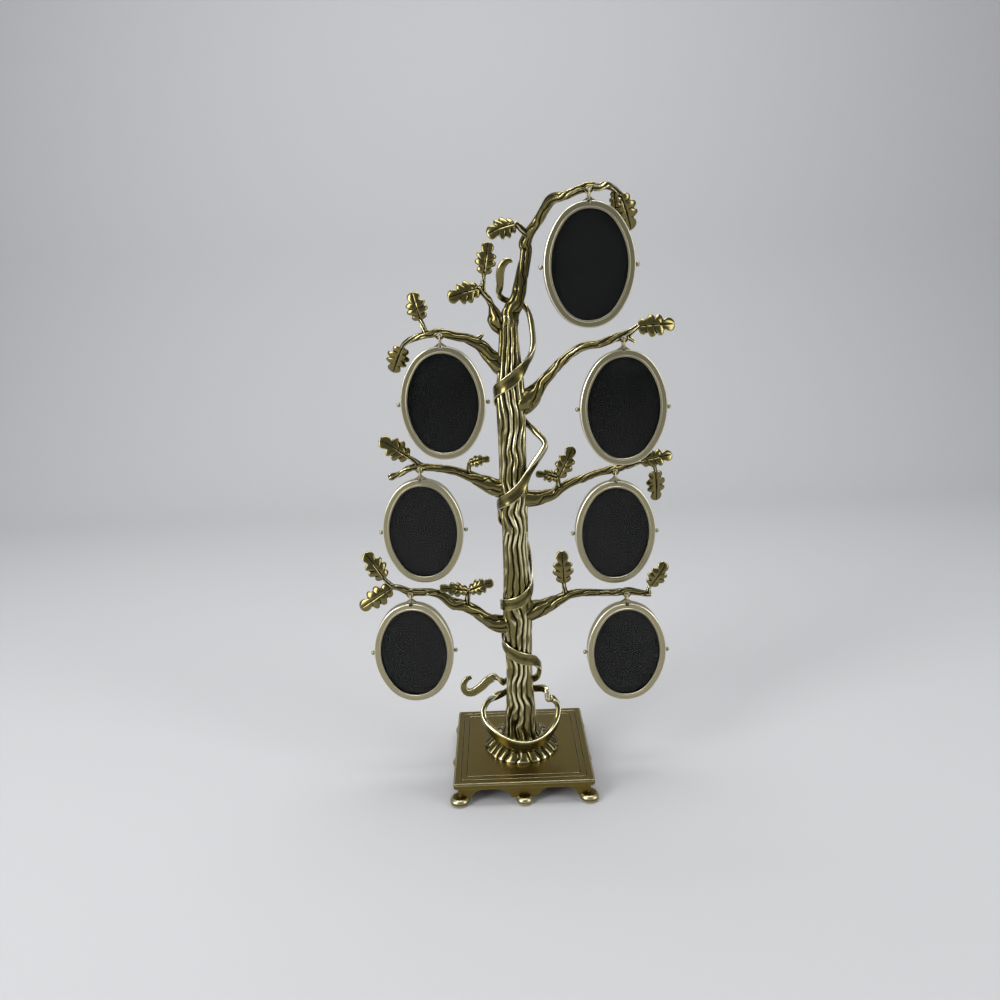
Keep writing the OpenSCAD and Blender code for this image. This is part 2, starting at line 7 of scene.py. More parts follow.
# %% Load the frame
import math

import bmesh
import bpy
import numpy as np
from mathutils import Matrix, Vector


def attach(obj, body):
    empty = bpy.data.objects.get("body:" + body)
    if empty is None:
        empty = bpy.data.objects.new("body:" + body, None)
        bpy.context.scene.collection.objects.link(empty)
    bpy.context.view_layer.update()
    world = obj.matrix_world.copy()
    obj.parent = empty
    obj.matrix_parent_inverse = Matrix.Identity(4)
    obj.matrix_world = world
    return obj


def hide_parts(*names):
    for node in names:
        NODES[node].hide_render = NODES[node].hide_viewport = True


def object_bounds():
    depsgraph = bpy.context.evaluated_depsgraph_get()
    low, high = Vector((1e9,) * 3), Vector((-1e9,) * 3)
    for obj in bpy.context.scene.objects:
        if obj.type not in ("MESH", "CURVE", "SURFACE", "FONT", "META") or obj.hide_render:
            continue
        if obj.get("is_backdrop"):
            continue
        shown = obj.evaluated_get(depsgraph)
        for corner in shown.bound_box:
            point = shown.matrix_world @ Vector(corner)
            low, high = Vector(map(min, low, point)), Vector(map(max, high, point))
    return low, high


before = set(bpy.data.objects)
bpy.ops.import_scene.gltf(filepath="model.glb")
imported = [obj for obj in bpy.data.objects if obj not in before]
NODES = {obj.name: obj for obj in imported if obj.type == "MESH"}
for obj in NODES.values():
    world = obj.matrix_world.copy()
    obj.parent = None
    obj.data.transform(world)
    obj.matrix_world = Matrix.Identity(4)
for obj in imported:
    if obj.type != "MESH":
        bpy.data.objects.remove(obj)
cad_box = [list(corner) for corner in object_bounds()]
MM = 0.001

# %% [markdown]
# The camera comes first, because every comparison with the photograph needs it. Its place, tilt and
# slight roll were solved from the corners of the base and the sizes of the seven like frames. A
# phone's wide lens stands close to the object, so the base is seen well from above and the top frame
# almost level.

# %% Camera
CAMERA_AT = (-0.00733, -0.3893, 0.2578)
CAMERA_PITCH = math.radians(14.5)
CAMERA_ROLL = math.radians(2.1)
LENS = 27.54

lens = bpy.data.cameras.new("camera")
lens.lens = LENS
lens.sensor_width = 36
camera = bpy.data.objects.new("camera", lens)
bpy.context.scene.collection.objects.link(camera)
look = Matrix.Rotation(math.pi / 2 - CAMERA_PITCH, 4, "X") @ Matrix.Rotation(-CAMERA_ROLL, 4, "Z")
camera.matrix_world = Matrix.Translation(CAMERA_AT) @ look
bpy.context.scene.camera = camera
print("camera at", CAMERA_AT, "pitched", round(math.degrees(CAMERA_PITCH), 1), "degrees down")


# %% [markdown]
# Metal looks like what surrounds it. A plain pale sweep of floor and wall gives it something calm to
# reflect, and three soft area lights make the long highlights on the ridges: a tall key on the left,
# a weaker tall fill on the right and a top light. Tall lights draw a line down every upright rim. The
# world stays dim, so that the black pictures behind glass stay black.

# %% Small helpers
def add_object(name, data):
    made = bpy.data.objects.new(name, data)
    bpy.context.scene.collection.objects.link(made)
    return made


def mesh_object(name, points, faces, edges=()):
    mesh = bpy.data.meshes.new(name)
    mesh.from_pydata([tuple(p) for p in points], list(edges), list(faces))
    mesh.update()
    return add_object(name, mesh)


def new_material(name):
    made = bpy.data.materials.new(name)
    made.use_nodes = True
    return made, made.node_tree.nodes["Principled BSDF"]


# %% Floor and wall
FLOOR_COLOUR = (0.5, 0.5, 0.51, 1)
WALL_AT = 0.55
WALL_TOP = 2.5
SWEEP_R = 0.35
SWEEP_STEPS = 16
HALF_FLOOR = 2.4


def studio_sweep():
    profile = [(-HALF_FLOOR, 0.0), (WALL_AT, 0.0)]
    for k in range(1, SWEEP_STEPS + 1):
        a = math.pi / 2 * k / SWEEP_STEPS
        profile.append((WALL_AT + SWEEP_R * math.sin(a), SWEEP_R * (1 - math.cos(a))))
    profile.append((WALL_AT + SWEEP_R, WALL_TOP))
    points = [(x, y, z) for y, z in profile for x in (-HALF_FLOOR, HALF_FLOOR)]
    faces = [(2 * k, 2 * k + 1, 2 * k + 3, 2 * k + 2) for k in range(len(profile) - 1)]
    sweep = mesh_object("studio_sweep", points, faces)
    sweep.data.shade_smooth()
    paint, shader = new_material("studio_sweep")
    shader.inputs["Base Color"].default_value = FLOOR_COLOUR
    shader.inputs["Roughness"].default_value = 0.9
    sweep.data.materials.append(paint)
    sweep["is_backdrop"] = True


studio_sweep()
print("floor", 2 * HALF_FLOOR, "m wide, wall", WALL_AT + SWEEP_R, "m behind the trunk")


# %% Lights
LIGHTS = {"key": [(-0.85, -0.6, 0.6), (0.4, 1.1), 11],
          "fill": [(0.95, -0.5, 0.5), (0.3, 1.0), 5],
          "top": [(0.0, 0.1, 1.2), (0.9, 0.6), 10]}
AIMED_AT = (0, 0, 0.16)
WORLD_TINT = (0.9, 0.95, 1, 1)
WORLD_STRENGTH = 0.25


def area_light(name, at, size, watts):
    data = bpy.data.lights.new(name, "AREA")
    data.shape = "RECTANGLE"
    data.size, data.size_y = size
    data.energy = watts
    light = add_object(name, data)
    light.location = at
    light.rotation_euler = (Vector(AIMED_AT) - Vector(at)).to_track_quat("-Z", "Y").to_euler()


for name, (at, size, watts) in LIGHTS.items():
    area_light(name, at, size, watts)

world = bpy.data.worlds.new("world")
bpy.context.scene.world = world
world.use_nodes = True
background = world.node_tree.nodes["Background"]
background.inputs["Color"].default_value = WORLD_TINT
background.inputs["Strength"].default_value = WORLD_STRENGTH
bpy.context.scene.view_settings.view_transform = "Standard"
print("lights:", list(LIGHTS), "and a world at", WORLD_STRENGTH)


# %% [markdown]
# Antique brass is pale metal with a dark patina that the maker brushed on and rubbed off again. It
# stays nearly black in every recess, is gone from every ridge, and leaves an olive tone between. The
# mesh of each cast piece carries how deep each point lies in a recess, measured from its own shape,
# and below zero on a ridge. One shader group turns that into two masks with some unevenness: what the
# patina covers, and what was rubbed bare, which also paints the highlights along the crests. A second
# group gives the fine pitted grain of a casting.

# %% Shader groups
def link_or_set(tree, socket, value):
    if isinstance(value, bpy.types.NodeSocket):
        tree.links.new(value, socket)
    else:
        socket.default_value = value


def placed_node(tree, kind, inputs=None, **settings):
    """Adds a node to a shader tree or a geometry tree. An input is a plain value or a socket."""
    made = tree.nodes.new(kind)
    for key, value in settings.items():
        setattr(made, key, value)
    for key, value in (inputs or {}).items():
        link_or_set(tree, made.inputs[key], value)
    return made


def shader_group(name, inputs, outputs):
    tree = bpy.data.node_groups.new(name, "ShaderNodeTree")
    for label, kind, default in inputs:
        socket = tree.interface.new_socket(label, in_out="INPUT", socket_type=kind)
        socket.default_value = default
    for label, kind in outputs:
        tree.interface.new_socket(label, in_out="OUTPUT", socket_type=kind)
    return tree, tree.nodes.new("NodeGroupInput").outputs, tree.nodes.new("NodeGroupOutput").inputs


def patina_group():
    tree, given, result = shader_group(
        "patina",
        [("Recess", "NodeSocketFloat", 0.0), ("Starts", "NodeSocketFloat", 0.0),
         ("Full", "NodeSocketFloat", 1.0), ("Rub and highlight starts", "NodeSocketFloat", -0.2),
         ("Rub and highlight full", "NodeSocketFloat", -1.0), ("Unevenness", "NodeSocketFloat", 0.3),
         ("Scale", "NodeSocketFloat", 200.0)],
        [("Patina", "NodeSocketFloat"), ("Rub and highlight", "NodeSocketFloat")])
    place = placed_node(tree, "ShaderNodeTexCoord").outputs["Object"]
    cloud = placed_node(tree, "ShaderNodeTexNoise",
                        {"Vector": place, "Scale": given["Scale"], "Detail": 4.0})
    centred = placed_node(tree, "ShaderNodeMath", {0: cloud.outputs["Fac"], 1: 0.5},
                          operation="SUBTRACT")
    uneven = placed_node(tree, "ShaderNodeMath",
                         {0: centred.outputs[0], 1: given["Unevenness"], 2: given["Recess"]},
                         operation="MULTIPLY_ADD")
    # The second mask is bare metal on the crests: rubbed wear, and a painted highlight too
    for output, begin, whole in (("Patina", "Starts", "Full"), ("Rub and highlight", "Rub and highlight starts", "Rub and highlight full")):
        mask = placed_node(tree, "ShaderNodeMapRange",
                           {"Value": uneven.outputs[0], "From Min": given[begin],
                            "From Max": given[whole]}, interpolation_type="SMOOTHSTEP")
        tree.links.new(mask.outputs["Result"], result[output])
    return tree


def cast_grain_group():
    tree, given, result = shader_group(
        "cast_grain",
        [("Scale", "NodeSocketFloat", 900.0), ("Strength", "NodeSocketFloat", 0.2),
         ("Depth", "NodeSocketFloat", 0.0001)],
        [("Normal", "NodeSocketVector"), ("Grain", "NodeSocketFloat")])
    place = placed_node(tree, "ShaderNodeTexCoord").outputs["Object"]
    fine = placed_node(tree, "ShaderNodeTexNoise",
                       {"Vector": place, "Scale": given["Scale"], "Detail": 3.0})
    bump = placed_node(tree, "ShaderNodeBump",
                       {"Height": fine.outputs["Fac"], "Strength": given["Strength"],
                        "Distance": given["Depth"]})
    tree.links.new(bump.outputs["Normal"], result["Normal"])
    tree.links.new(fine.outputs["Fac"], result["Grain"])
    return tree


PATINA = patina_group()
CAST_GRAIN = cast_grain_group()
print("shader groups:", PATINA.name, CAST_GRAIN.name)


# %% Brass materials
# Bare brass for the crests, partly rubbed wear and partly a painted highlight
RUBBED_AND_HIGHLIGHT_BRASS = (0.84, 0.78, 0.5)
DARK_PATINA = (0.012, 0.01, 0.005)
UNEVENNESS = 0.3
CLOUD_SCALE = 260.0


def placed_group(tree, group, values):
    made = tree.nodes.new("ShaderNodeGroup")
    made.node_tree = group
    for key, value in values.items():
        link_or_set(tree, made.inputs[key], value)
    return made.outputs


def tone_mix(tree, factor, first, second):
    """Mixes two colours. Each is a plain tone or the output of another mix."""
    mix = placed_node(tree, "ShaderNodeMix", {"Factor": factor}, data_type="RGBA")
    for label, tone in (("A", first), ("B", second)):
        link_or_set(tree, mix.inputs[label], (*tone, 1) if isinstance(tone, tuple) else tone)
    return mix.outputs["Result"]


def antiqued(name, worn, patina_range, rub_and_highlight_range, rough):
    """Brass whose tone and roughness follow the recess. The ranges are [starts, full]."""
    made, shader = new_material(name)
    tree = made.node_tree
    recess = placed_node(tree, "ShaderNodeAttribute", attribute_name="recess").outputs["Fac"]
    masks = placed_group(tree, PATINA, {
        "Recess": recess, "Starts": patina_range[0], "Full": patina_range[1],
        "Rub and highlight starts": rub_and_highlight_range[0], "Rub and highlight full": rub_and_highlight_range[1],
        "Unevenness": UNEVENNESS, "Scale": CLOUD_SCALE})
    surface = placed_group(tree, CAST_GRAIN, {"Scale": 1400.0, "Strength": 0.12})
    # Crests go to bare brass, partly rubbed wear and partly a painted highlight
    metal = tone_mix(tree, masks["Rub and highlight"], worn, RUBBED_AND_HIGHLIGHT_BRASS)
    tone = tone_mix(tree, masks["Patina"], metal, DARK_PATINA)
    gloss = placed_node(tree, "ShaderNodeMapRange",
                        {"Value": masks["Patina"], "To Min": rough[0], "To Max": rough[1]})
    tree.links.new(tone, shader.inputs["Base Color"])
    tree.links.new(gloss.outputs["Result"], shader.inputs["Roughness"])
    tree.links.new(surface["Normal"], shader.inputs["Normal"])
    shader.inputs["Metallic"].default_value = 1
    return made


ANTIQUE_BRASS = antiqued("antique_brass", (0.2, 0.17, 0.066), (-0.05, 0.55), (-0.85, -1.5), (0.2, 0.5))
OLIVE_BRASS = antiqued("olive_brass", (0.16, 0.118, 0.03), (0.1, 0.8), (-0.3, -1.0), (0.34, 0.5))
print("brass that darkens in its recesses:", ANTIQUE_BRASS.name, OLIVE_BRASS.name)


# %% Frame materials
def pale_satin():
    """The frames are satin, with their rounded rims painted paler as a highlight."""
    made, shader = new_material("pale_brass")
    tree = made.node_tree
    surface = placed_group(tree, CAST_GRAIN, {"Scale": 2500.0, "Strength": 0.08})
    rim = placed_node(tree, "ShaderNodeAttribute", attribute_name="rim").outputs["Fac"]
    satin = tone_mix(tree, surface["Grain"], (0.36, 0.322, 0.2), (0.44, 0.398, 0.255))
    # Painted highlight: the faces of a rounded rim are mixed towards a pale colour
    tree.links.new(tone_mix(tree, rim, satin, (0.8, 0.76, 0.58)), shader.inputs["Base Color"])
    tree.links.new(surface["Normal"], shader.inputs["Normal"])
    shader.inputs["Metallic"].default_value = 1
    shader.inputs["Roughness"].default_value = 0.34
    return made


def clear_glass():
    """The panes hardly mirror the floor in the photograph, hence the low index."""
    made, shader = new_material("clear_glass")
    shader.inputs["Base Color"].default_value = (0.97, 0.99, 0.98, 1)
    shader.inputs["Roughness"].default_value = 0.03
    shader.inputs["Transmission Weight"].default_value = 1
    shader.inputs["IOR"].default_value = 1.2
    return made


def black_card():
    made, shader = new_material("black_card")
    tree = made.node_tree
    place = placed_node(tree, "ShaderNodeTexCoord").outputs["Object"]
    felt = placed_node(tree, "ShaderNodeTexNoise", {"Vector": place, "Scale": 3000.0, "Detail": 3.0})
    tint = tone_mix(tree, felt.outputs["Fac"], (0.0042, 0.0047, 0.0036), (0.0049, 0.0054, 0.0041))
    tree.links.new(tint, shader.inputs["Base Color"])
    shader.inputs["Roughness"].default_value = 0.85
    shader.inputs["Specular IOR Level"].default_value = 0.2
    return made


PALE_BRASS = pale_satin()
CLEAR_GLASS = clear_glass()
BLACK_CARD = black_card()
print("frame materials:", PALE_BRASS.name, CLEAR_GLASS.name, BLACK_CARD.name)


# %% [markdown]
# The recess of a point is how far the smoothed surface passes above it. Smoothing a few times and
# comparing with the normal is a quick stand-in for the way that a brushed-on patina collects: a
# groove lies below its smoothed self, a ridge above it. Where the deepest tenth of a piece begins
# counts as 1, and where its sharpest twentieth does as -1, so a fine twig and a stout trunk take
# the same patina, and the same rubbing and painted highlight on their ridges.

# %% Recess attribute
DEEPEST_TENTH = 90
SHARPEST_TWENTIETH = 5
MOST_SUNK = 1.5


def mark_recess(obj, passes, hollows, ridges):
    """Hollows and ridges say how much patina and how much rubbing and painted highlight it takes."""
    mesh = obj.data
    count = len(mesh.vertices)
    points = np.zeros(count * 3)
    mesh.vertices.foreach_get("co", points)
    points = points.reshape(-1, 3)
    normals = np.zeros(count * 3, np.float32)
    mesh.vertices.foreach_get("normal", normals)
    normals = normals.reshape(-1, 3)
    ends = np.zeros(len(mesh.edges) * 2, np.int32)
    mesh.edges.foreach_get("vertices", ends)
    ends = ends.reshape(-1, 2)
    both = np.concatenate([ends, ends[:, ::-1]])
    degree = np.bincount(both[:, 0], minlength=count).clip(1)
    smooth = points.copy()
    for _ in range(passes):
        total = [np.bincount(both[:, 0], smooth[both[:, 1], k], count) for k in range(3)]
        smooth = 0.5 * smooth + 0.5 * np.stack(total, 1) / degree[:, None]
    recess = ((smooth - points) * normals).sum(1)
    deepest = np.percentile(recess, DEEPEST_TENTH)
    sharpest = -np.percentile(recess, SHARPEST_TWENTIETH)
    sunk = hollows * (recess / max(deepest, 1e-6)).clip(0, MOST_SUNK)
    recess = np.where(recess > 0, sunk, ridges * recess / max(sharpest, 1e-6))
    layer = mesh.attributes.new("recess", "FLOAT", "POINT")
    layer.data.foreach_set("value", recess.astype(np.float32))


# %% [markdown]
# The trunk, the mound, the branches and the vines all follow a path, so each starts as a bare line of
# points that carry a radius, or a half width and a facing, as attributes. Geometry Nodes then sweep a
# section along it. The line is the same smooth curve through the same points as in the solid.

# %% Paths
STEPS = 8


def smooth_rows(rows):
    """A smooth curve through the rows, with a few steps from each row to the next."""
    rows = np.array(rows, float)
    last = len(rows) - 1
    out = []
    for i in range(last):
        a, b, c, d = rows[max(i - 1, 0)], rows[i], rows[i + 1], rows[min(i + 2, last)]
        for t in np.arange(STEPS) / STEPS:
            out.append(0.5 * (2 * b + (c - a) * t + (2 * a - 5 * b + 4 * c - d) * t ** 2
                              + (3 * b - a - 3 * c + d) * t ** 3))
    return np.array(out + [rows[last]])


def path_object(name, runs):
    """Bare lines with named attributes. A run is a dict of arrays: at, and one for each attribute."""
    points = np.concatenate([run["at"] for run in runs])
    edges = []
    start = 0
    for run in runs:
        edges += [(start + k, start + k + 1) for k in range(len(run["at"]) - 1)]
        start += len(run["at"])
    made = mesh_object(name, points, [], edges)
    for key in runs[0]:
        if key == "at":
            continue
        values = np.concatenate([run[key] for run in runs]).astype(np.float32)
        kind = "FLOAT_VECTOR" if values.ndim == 2 else "FLOAT"
        layer = made.data.attributes.new(key, kind, "POINT")
        layer.data.foreach_set("vector" if values.ndim == 2 else "value", values.ravel())
    return made


# %% Helpers for geometry node trees
def geometry_tree(name, inputs):
    tree = bpy.data.node_groups.new(name, "GeometryNodeTree")
    tree.interface.new_socket("Geometry", in_out="INPUT", socket_type="NodeSocketGeometry")
    for label, kind, default in inputs:
        socket = tree.interface.new_socket(label, in_out="INPUT", socket_type=kind)
        if default is not None:
            socket.default_value = default
    tree.interface.new_socket("Geometry", in_out="OUTPUT", socket_type="NodeSocketGeometry")
    return tree, tree.nodes.new("NodeGroupInput").outputs, tree.nodes.new("NodeGroupOutput").inputs


def math_node(tree, operation, *values):
    return placed_node(tree, "ShaderNodeMath", dict(enumerate(values)), operation=operation).outputs[0]


def vector_node(tree, operation, *values, out="Vector"):
    return placed_node(tree, "ShaderNodeVectorMath", dict(enumerate(values)),
                       operation=operation).outputs[out]


def scaled(tree, vector, factor):
    return placed_node(tree, "ShaderNodeVectorMath", {"Vector": vector, "Scale": factor},
                       operation="SCALE").outputs["Vector"]


def captured(tree, geometry, kind, value):
    made = tree.nodes.new("GeometryNodeCaptureAttribute")
    made.capture_items.new(kind, "Value")
    tree.links.new(geometry, made.inputs["Geometry"])
    tree.links.new(value, made.inputs["Value"])
    return made.outputs["Geometry"], made.outputs["Value"]


def named(tree, name, kind="FLOAT"):
    return placed_node(tree, "GeometryNodeInputNamedAttribute", {"Name": name},
                       data_type=kind).outputs["Attribute"]


def even_path(tree, given):
    """The path as a curve with a point at every step."""
    line = placed_node(tree, "GeometryNodeMeshToCurve", {"Mesh": given["Geometry"]})
    return placed_node(tree, "GeometryNodeResampleCurve",
                       {"Curve": line.outputs["Curve"], "Length": given["Step"]},
                       mode="LENGTH").outputs["Curve"]


def round_section(tree, given):
    """A circle to sweep, and each point's place round it as a share of a turn."""
    circle = placed_node(tree, "GeometryNodeCurvePrimitiveCircle",
                         {"Resolution": given["Sides"], "Radius": 1.0})
    factor = placed_node(tree, "GeometryNodeSplineParameter").outputs["Factor"]
    return captured(tree, circle.outputs["Curve"], "FLOAT", factor)


def coated(tree, moved, given, result):
    """Ends a tree with smooth shading, real meshes and the metal."""
    soft = placed_node(tree, "GeometryNodeSetShadeSmooth", {"Geometry": moved.outputs["Geometry"]})
    real = placed_node(tree, "GeometryNodeRealizeInstances", {"Geometry": soft.outputs["Geometry"]})
    metal = placed_node(tree, "GeometryNodeSetMaterial",
                        {"Geometry": real.outputs["Geometry"], "Material": given["Material"]})
    tree.links.new(metal.outputs["Geometry"], result["Geometry"])


def grown(path, tree, values):
    """Runs a tree on a path and returns the result as one plain mesh object."""
    values = {"Material": ANTIQUE_BRASS, **values}
    modifier = path.modifiers.new("grow", "NODES")
    modifier.node_group = tree
    for item in tree.interface.items_tree:
        if item.in_out == "INPUT" and item.name in values:
            modifier[item.identifier] = values[item.name]
    path.update_tag()
    bpy.context.view_layer.update()
    evaluated = path.evaluated_get(bpy.context.evaluated_depsgraph_get())
    mesh = bpy.data.meshes.new_from_object(evaluated)
    name, bare = path.name, path.data
    bpy.data.objects.remove(path)
    bpy.data.meshes.remove(bare)
    mesh.name = name
    return add_object(name, mesh)


# %% [markdown]
# Bark here is a bundle of long rounded ridges between sharp grooves. A cosine round the limb would
# give even flutes. Instead a phase runs round the limb, drifts with a slow noise so that the ridges
# wander, and the height is the root of its sine, which is round on top and sharp below. Adding the
# angle round a chosen point to the phase makes one ridge split in two there, as grain does round a
# knot, so a pair of such forks of opposite sign adds a ridge and takes it away again. The mean height
# is taken off, so that the ridges stand out of the solid's surface about as far as the grooves sink in.

# %% The bark tree
# Each fork is [place round the trunk as a share of a turn, metres up it, which way it splits]
FORKS = [(0.02, 0.05, 1), (0.09, 0.085, -1), (0.93, 0.12, 1), (0.04, 0.155, -1), (0.98, 0.036, -1),
         (0.12, 0.062, 1), (0.5, 0.07, 1), (0.42, 0.14, -1), (0.3, 0.1, -1), (0.66, 0.12, 1)]
FORK_REACH = 55.0
BARK_MEAN = 0.6


def fork_phase(tree, around, along, fork):
    """The angle round one fork, in a form that closes up round the limb."""
    at_angle, at_height, sign = fork
    x = math_node(tree, "MULTIPLY", math_node(tree, "SUBTRACT", around, at_angle), math.pi)
    y = math_node(tree, "MULTIPLY", math_node(tree, "SUBTRACT", along, at_height), FORK_REACH)
    rise = math_node(tree, "MULTIPLY", math_node(tree, "TANH", y), math_node(tree, "COSINE", x))
    angle = math_node(tree, "ARCTAN2", rise, math_node(tree, "SINE", x))
    return math_node(tree, "MULTIPLY", angle, float(sign))


def bark_tree(name, forks=()):
    tree, given, result = geometry_tree(name, [
        ("Step", "NodeSocketFloat", 0.0005), ("Sides", "NodeSocketInt", 48),
        ("Ridges", "NodeSocketInt", 5), ("Depth", "NodeSocketFloat", 0.0004),
        ("Sharpness", "NodeSocketFloat", 0.6), ("Turns per metre", "NodeSocketFloat", 0.0),
        ("Wander", "NodeSocketFloat", 1.0), ("Wander scale", "NodeSocketFloat", 80.0),
        ("Seed", "NodeSocketFloat", 0.0), ("Material", "NodeSocketMaterial", None)])
    length = placed_node(tree, "GeometryNodeSplineParameter").outputs["Length"]
    path, along = captured(tree, even_path(tree, given), "FLOAT", length)
    section, around = round_section(tree, given)
    tube = placed_node(tree, "GeometryNodeCurveToMesh",
                       {"Curve": path, "Profile Curve": section, "Fill Caps": True,
                        "Scale": named(tree, "radius")})
    place = placed_node(tree, "GeometryNodeInputPosition").outputs["Position"]
    cloud = placed_node(tree, "ShaderNodeTexNoise",
                        {"Vector": place, "W": given["Seed"], "Scale": given["Wander scale"],
                         "Detail": 1.0}, noise_dimensions="4D").outputs["Fac"]
    drift = math_node(tree, "MULTIPLY", math_node(tree, "SUBTRACT", cloud, 0.5), given["Wander"])
    turned = math_node(tree, "MULTIPLY", along, given["Turns per metre"])
    laps = math_node(tree, "MULTIPLY_ADD", around, given["Ridges"],
                     math_node(tree, "ADD", turned, drift))
    phase = math_node(tree, "MULTIPLY", laps, math.pi)
    for fork in forks:
        half = math_node(tree, "MULTIPLY", fork_phase(tree, around, along, fork), 0.5)
        phase = math_node(tree, "ADD", phase, half)
    wave = math_node(tree, "ABSOLUTE", math_node(tree, "SINE", phase))
    round_top = math_node(tree, "POWER", wave, given["Sharpness"])
    rise = math_node(tree, "MULTIPLY", math_node(tree, "SUBTRACT", round_top, BARK_MEAN),
                     given["Depth"])
    outward = placed_node(tree, "GeometryNodeInputNormal").outputs["Normal"]
    moved = placed_node(tree, "GeometryNodeSetPosition",
                        {"Geometry": tube.outputs["Mesh"], "Offset": scaled(tree, outward, rise)})
    coated(tree, moved, given, result)
    return tree


TRUNK_BARK = bark_tree("trunk_bark", FORKS)
LIMB_BARK = bark_tree("limb_bark")
print("bark trees:", TRUNK_BARK.name, "with", len(FORKS), "forks and", LIMB_BARK.name)


def radius_run(rows):
    """A run of rows of [x, y, z, radius] in millimetres."""
    path = smooth_rows(rows) * MM
    return {"at": path[:, :3], "radius": path[:, 3]}


# %% [markdown]
# The trunk is one long sweep of that bark, with about thirteen ridges. Its radii are the solid's, and
# it is replaced rather than bumped, because grooves this deep show in its outline.

# %% Trunk
MOUND_TOP = 20
TRUNK = [
    [MOUND_TOP, 11.6], [23, 9.7], [28, 8.5], [36, 7.8], [46, 7.2], [58, 6.8], [77, 7], [92, 7.4],
    [104, 7.2], [116, 6.5], [130, 6.3], [146, 6.6], [160, 7.1], [174, 6.8], [188, 6.7], [204, 7],
    [214, 6.8], [223, 6.1], [230, 5.4], [237, 4.7], [244, 4.3], [251, 4.2]]


def finish_cast(piece, node, passes=8, hollows=1.0, ridges=1.0):
    """Marks the recesses, gives the metal and lets the piece stand for its solid."""
    mark_recess(piece, passes, hollows, ridges)
    stand_for(piece, node, ANTIQUE_BRASS)


def stand_for(piece, node, material):
    piece.data.materials.clear()
    piece.data.materials.append(material)
    piece.data.shade_smooth()
    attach(piece, "tree")
    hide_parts(node)
    triangles = sum(len(p.vertices) - 2 for p in piece.data.polygons)
    print(piece.name, triangles, "triangles")


trunk = grown(path_object("bark_trunk", [radius_run([[0, 0, z, r] for z, r in TRUNK])]), TRUNK_BARK,
              {"Step": 0.00054, "Sides": 216, "Ridges": 13, "Depth": 0.0014, "Sharpness": 0.75,
               "Wander": 2.6, "Wander scale": 58.0, "Seed": 3.0})
finish_cast(trunk, "trunk", passes=14, ridges=1.5)


# %% [markdown]
# The root mound is a collar of petals that flare out onto the plate. It is the same sweep again, this
# time straight up through six radii, with one flat-topped ridge for each petal. A little wander makes
# some petals wider than others.

# %% Root mound
PLATE_TOP = 13
PETALS = 22
SIDES_PER_PETAL = 14
MOUND = [[20.2, PLATE_TOP], [20.5, PLATE_TOP + 0.8], [19.4, PLATE_TOP + 2.2], [17.2, PLATE_TOP + 4.2],
         [14.5, MOUND_TOP - 1], [12, MOUND_TOP]]

mound = grown(path_object("petal_mound", [radius_run([[0, 0, z, r] for r, z in MOUND])]), LIMB_BARK,
              {"Step": 0.00025, "Sides": PETALS * SIDES_PER_PETAL, "Ridges": PETALS, "Depth": 0.0015,
               "Sharpness": 0.34, "Wander": 1.7, "Wander scale": 90.0})
finish_cast(mound, "root_mound", passes=20, hollows=0.6, ridges=1.9)


# %% [markdown]
# A branch is a few limbs, some leaves and an eyelet, cast in one. The limbs are swept with a twisting
# bark. Each leaf is a sheet with three pairs of puffed lobes and a long end lobe, with a groove down
# the middle. Joined meshes would meet in hard creases, so the whole branch is remeshed into one skin
# at a quarter millimetre, which leaves the soft fillets of a casting, and then the ring's hole is
# drilled.

# %% Oak leaf
# Each pair of lobes and the end lobe, as [place along the leaf, reach along it, width]
LEAF_LOBES = [[0.13, 0.1, 0.72], [0.31, 0.115, 1], [0.5, 0.115, 0.94], [0.78, 0.215, 0.6]]
# How wide the leaf stays between its lobes, and how blunt that core, the lobes and their puff are
LEAF_CORE = 0.46
CORE_BLUNTNESS = 0.4
LOBE_BLUNTNESS = 0.42
PUFF_BLUNTNESS = 0.6
# How far the lobes puff up, fall away from the rib, sweep towards the tip and thin out at the edge
LEAF_PUFF = 0.8
LEAF_FALL = 0.2
LEAF_SWEEP = 0.09
LEAF_THINNING = 0.1
LEAF_HALF_THICKNESS = 0.45
GROOVE_DEPTH = 0.3
GROOVE_REACH = 0.35
STALK_HALF_WIDTH = 0.45
LEAF_ROWS = 97
LEAF_COLUMNS = 33


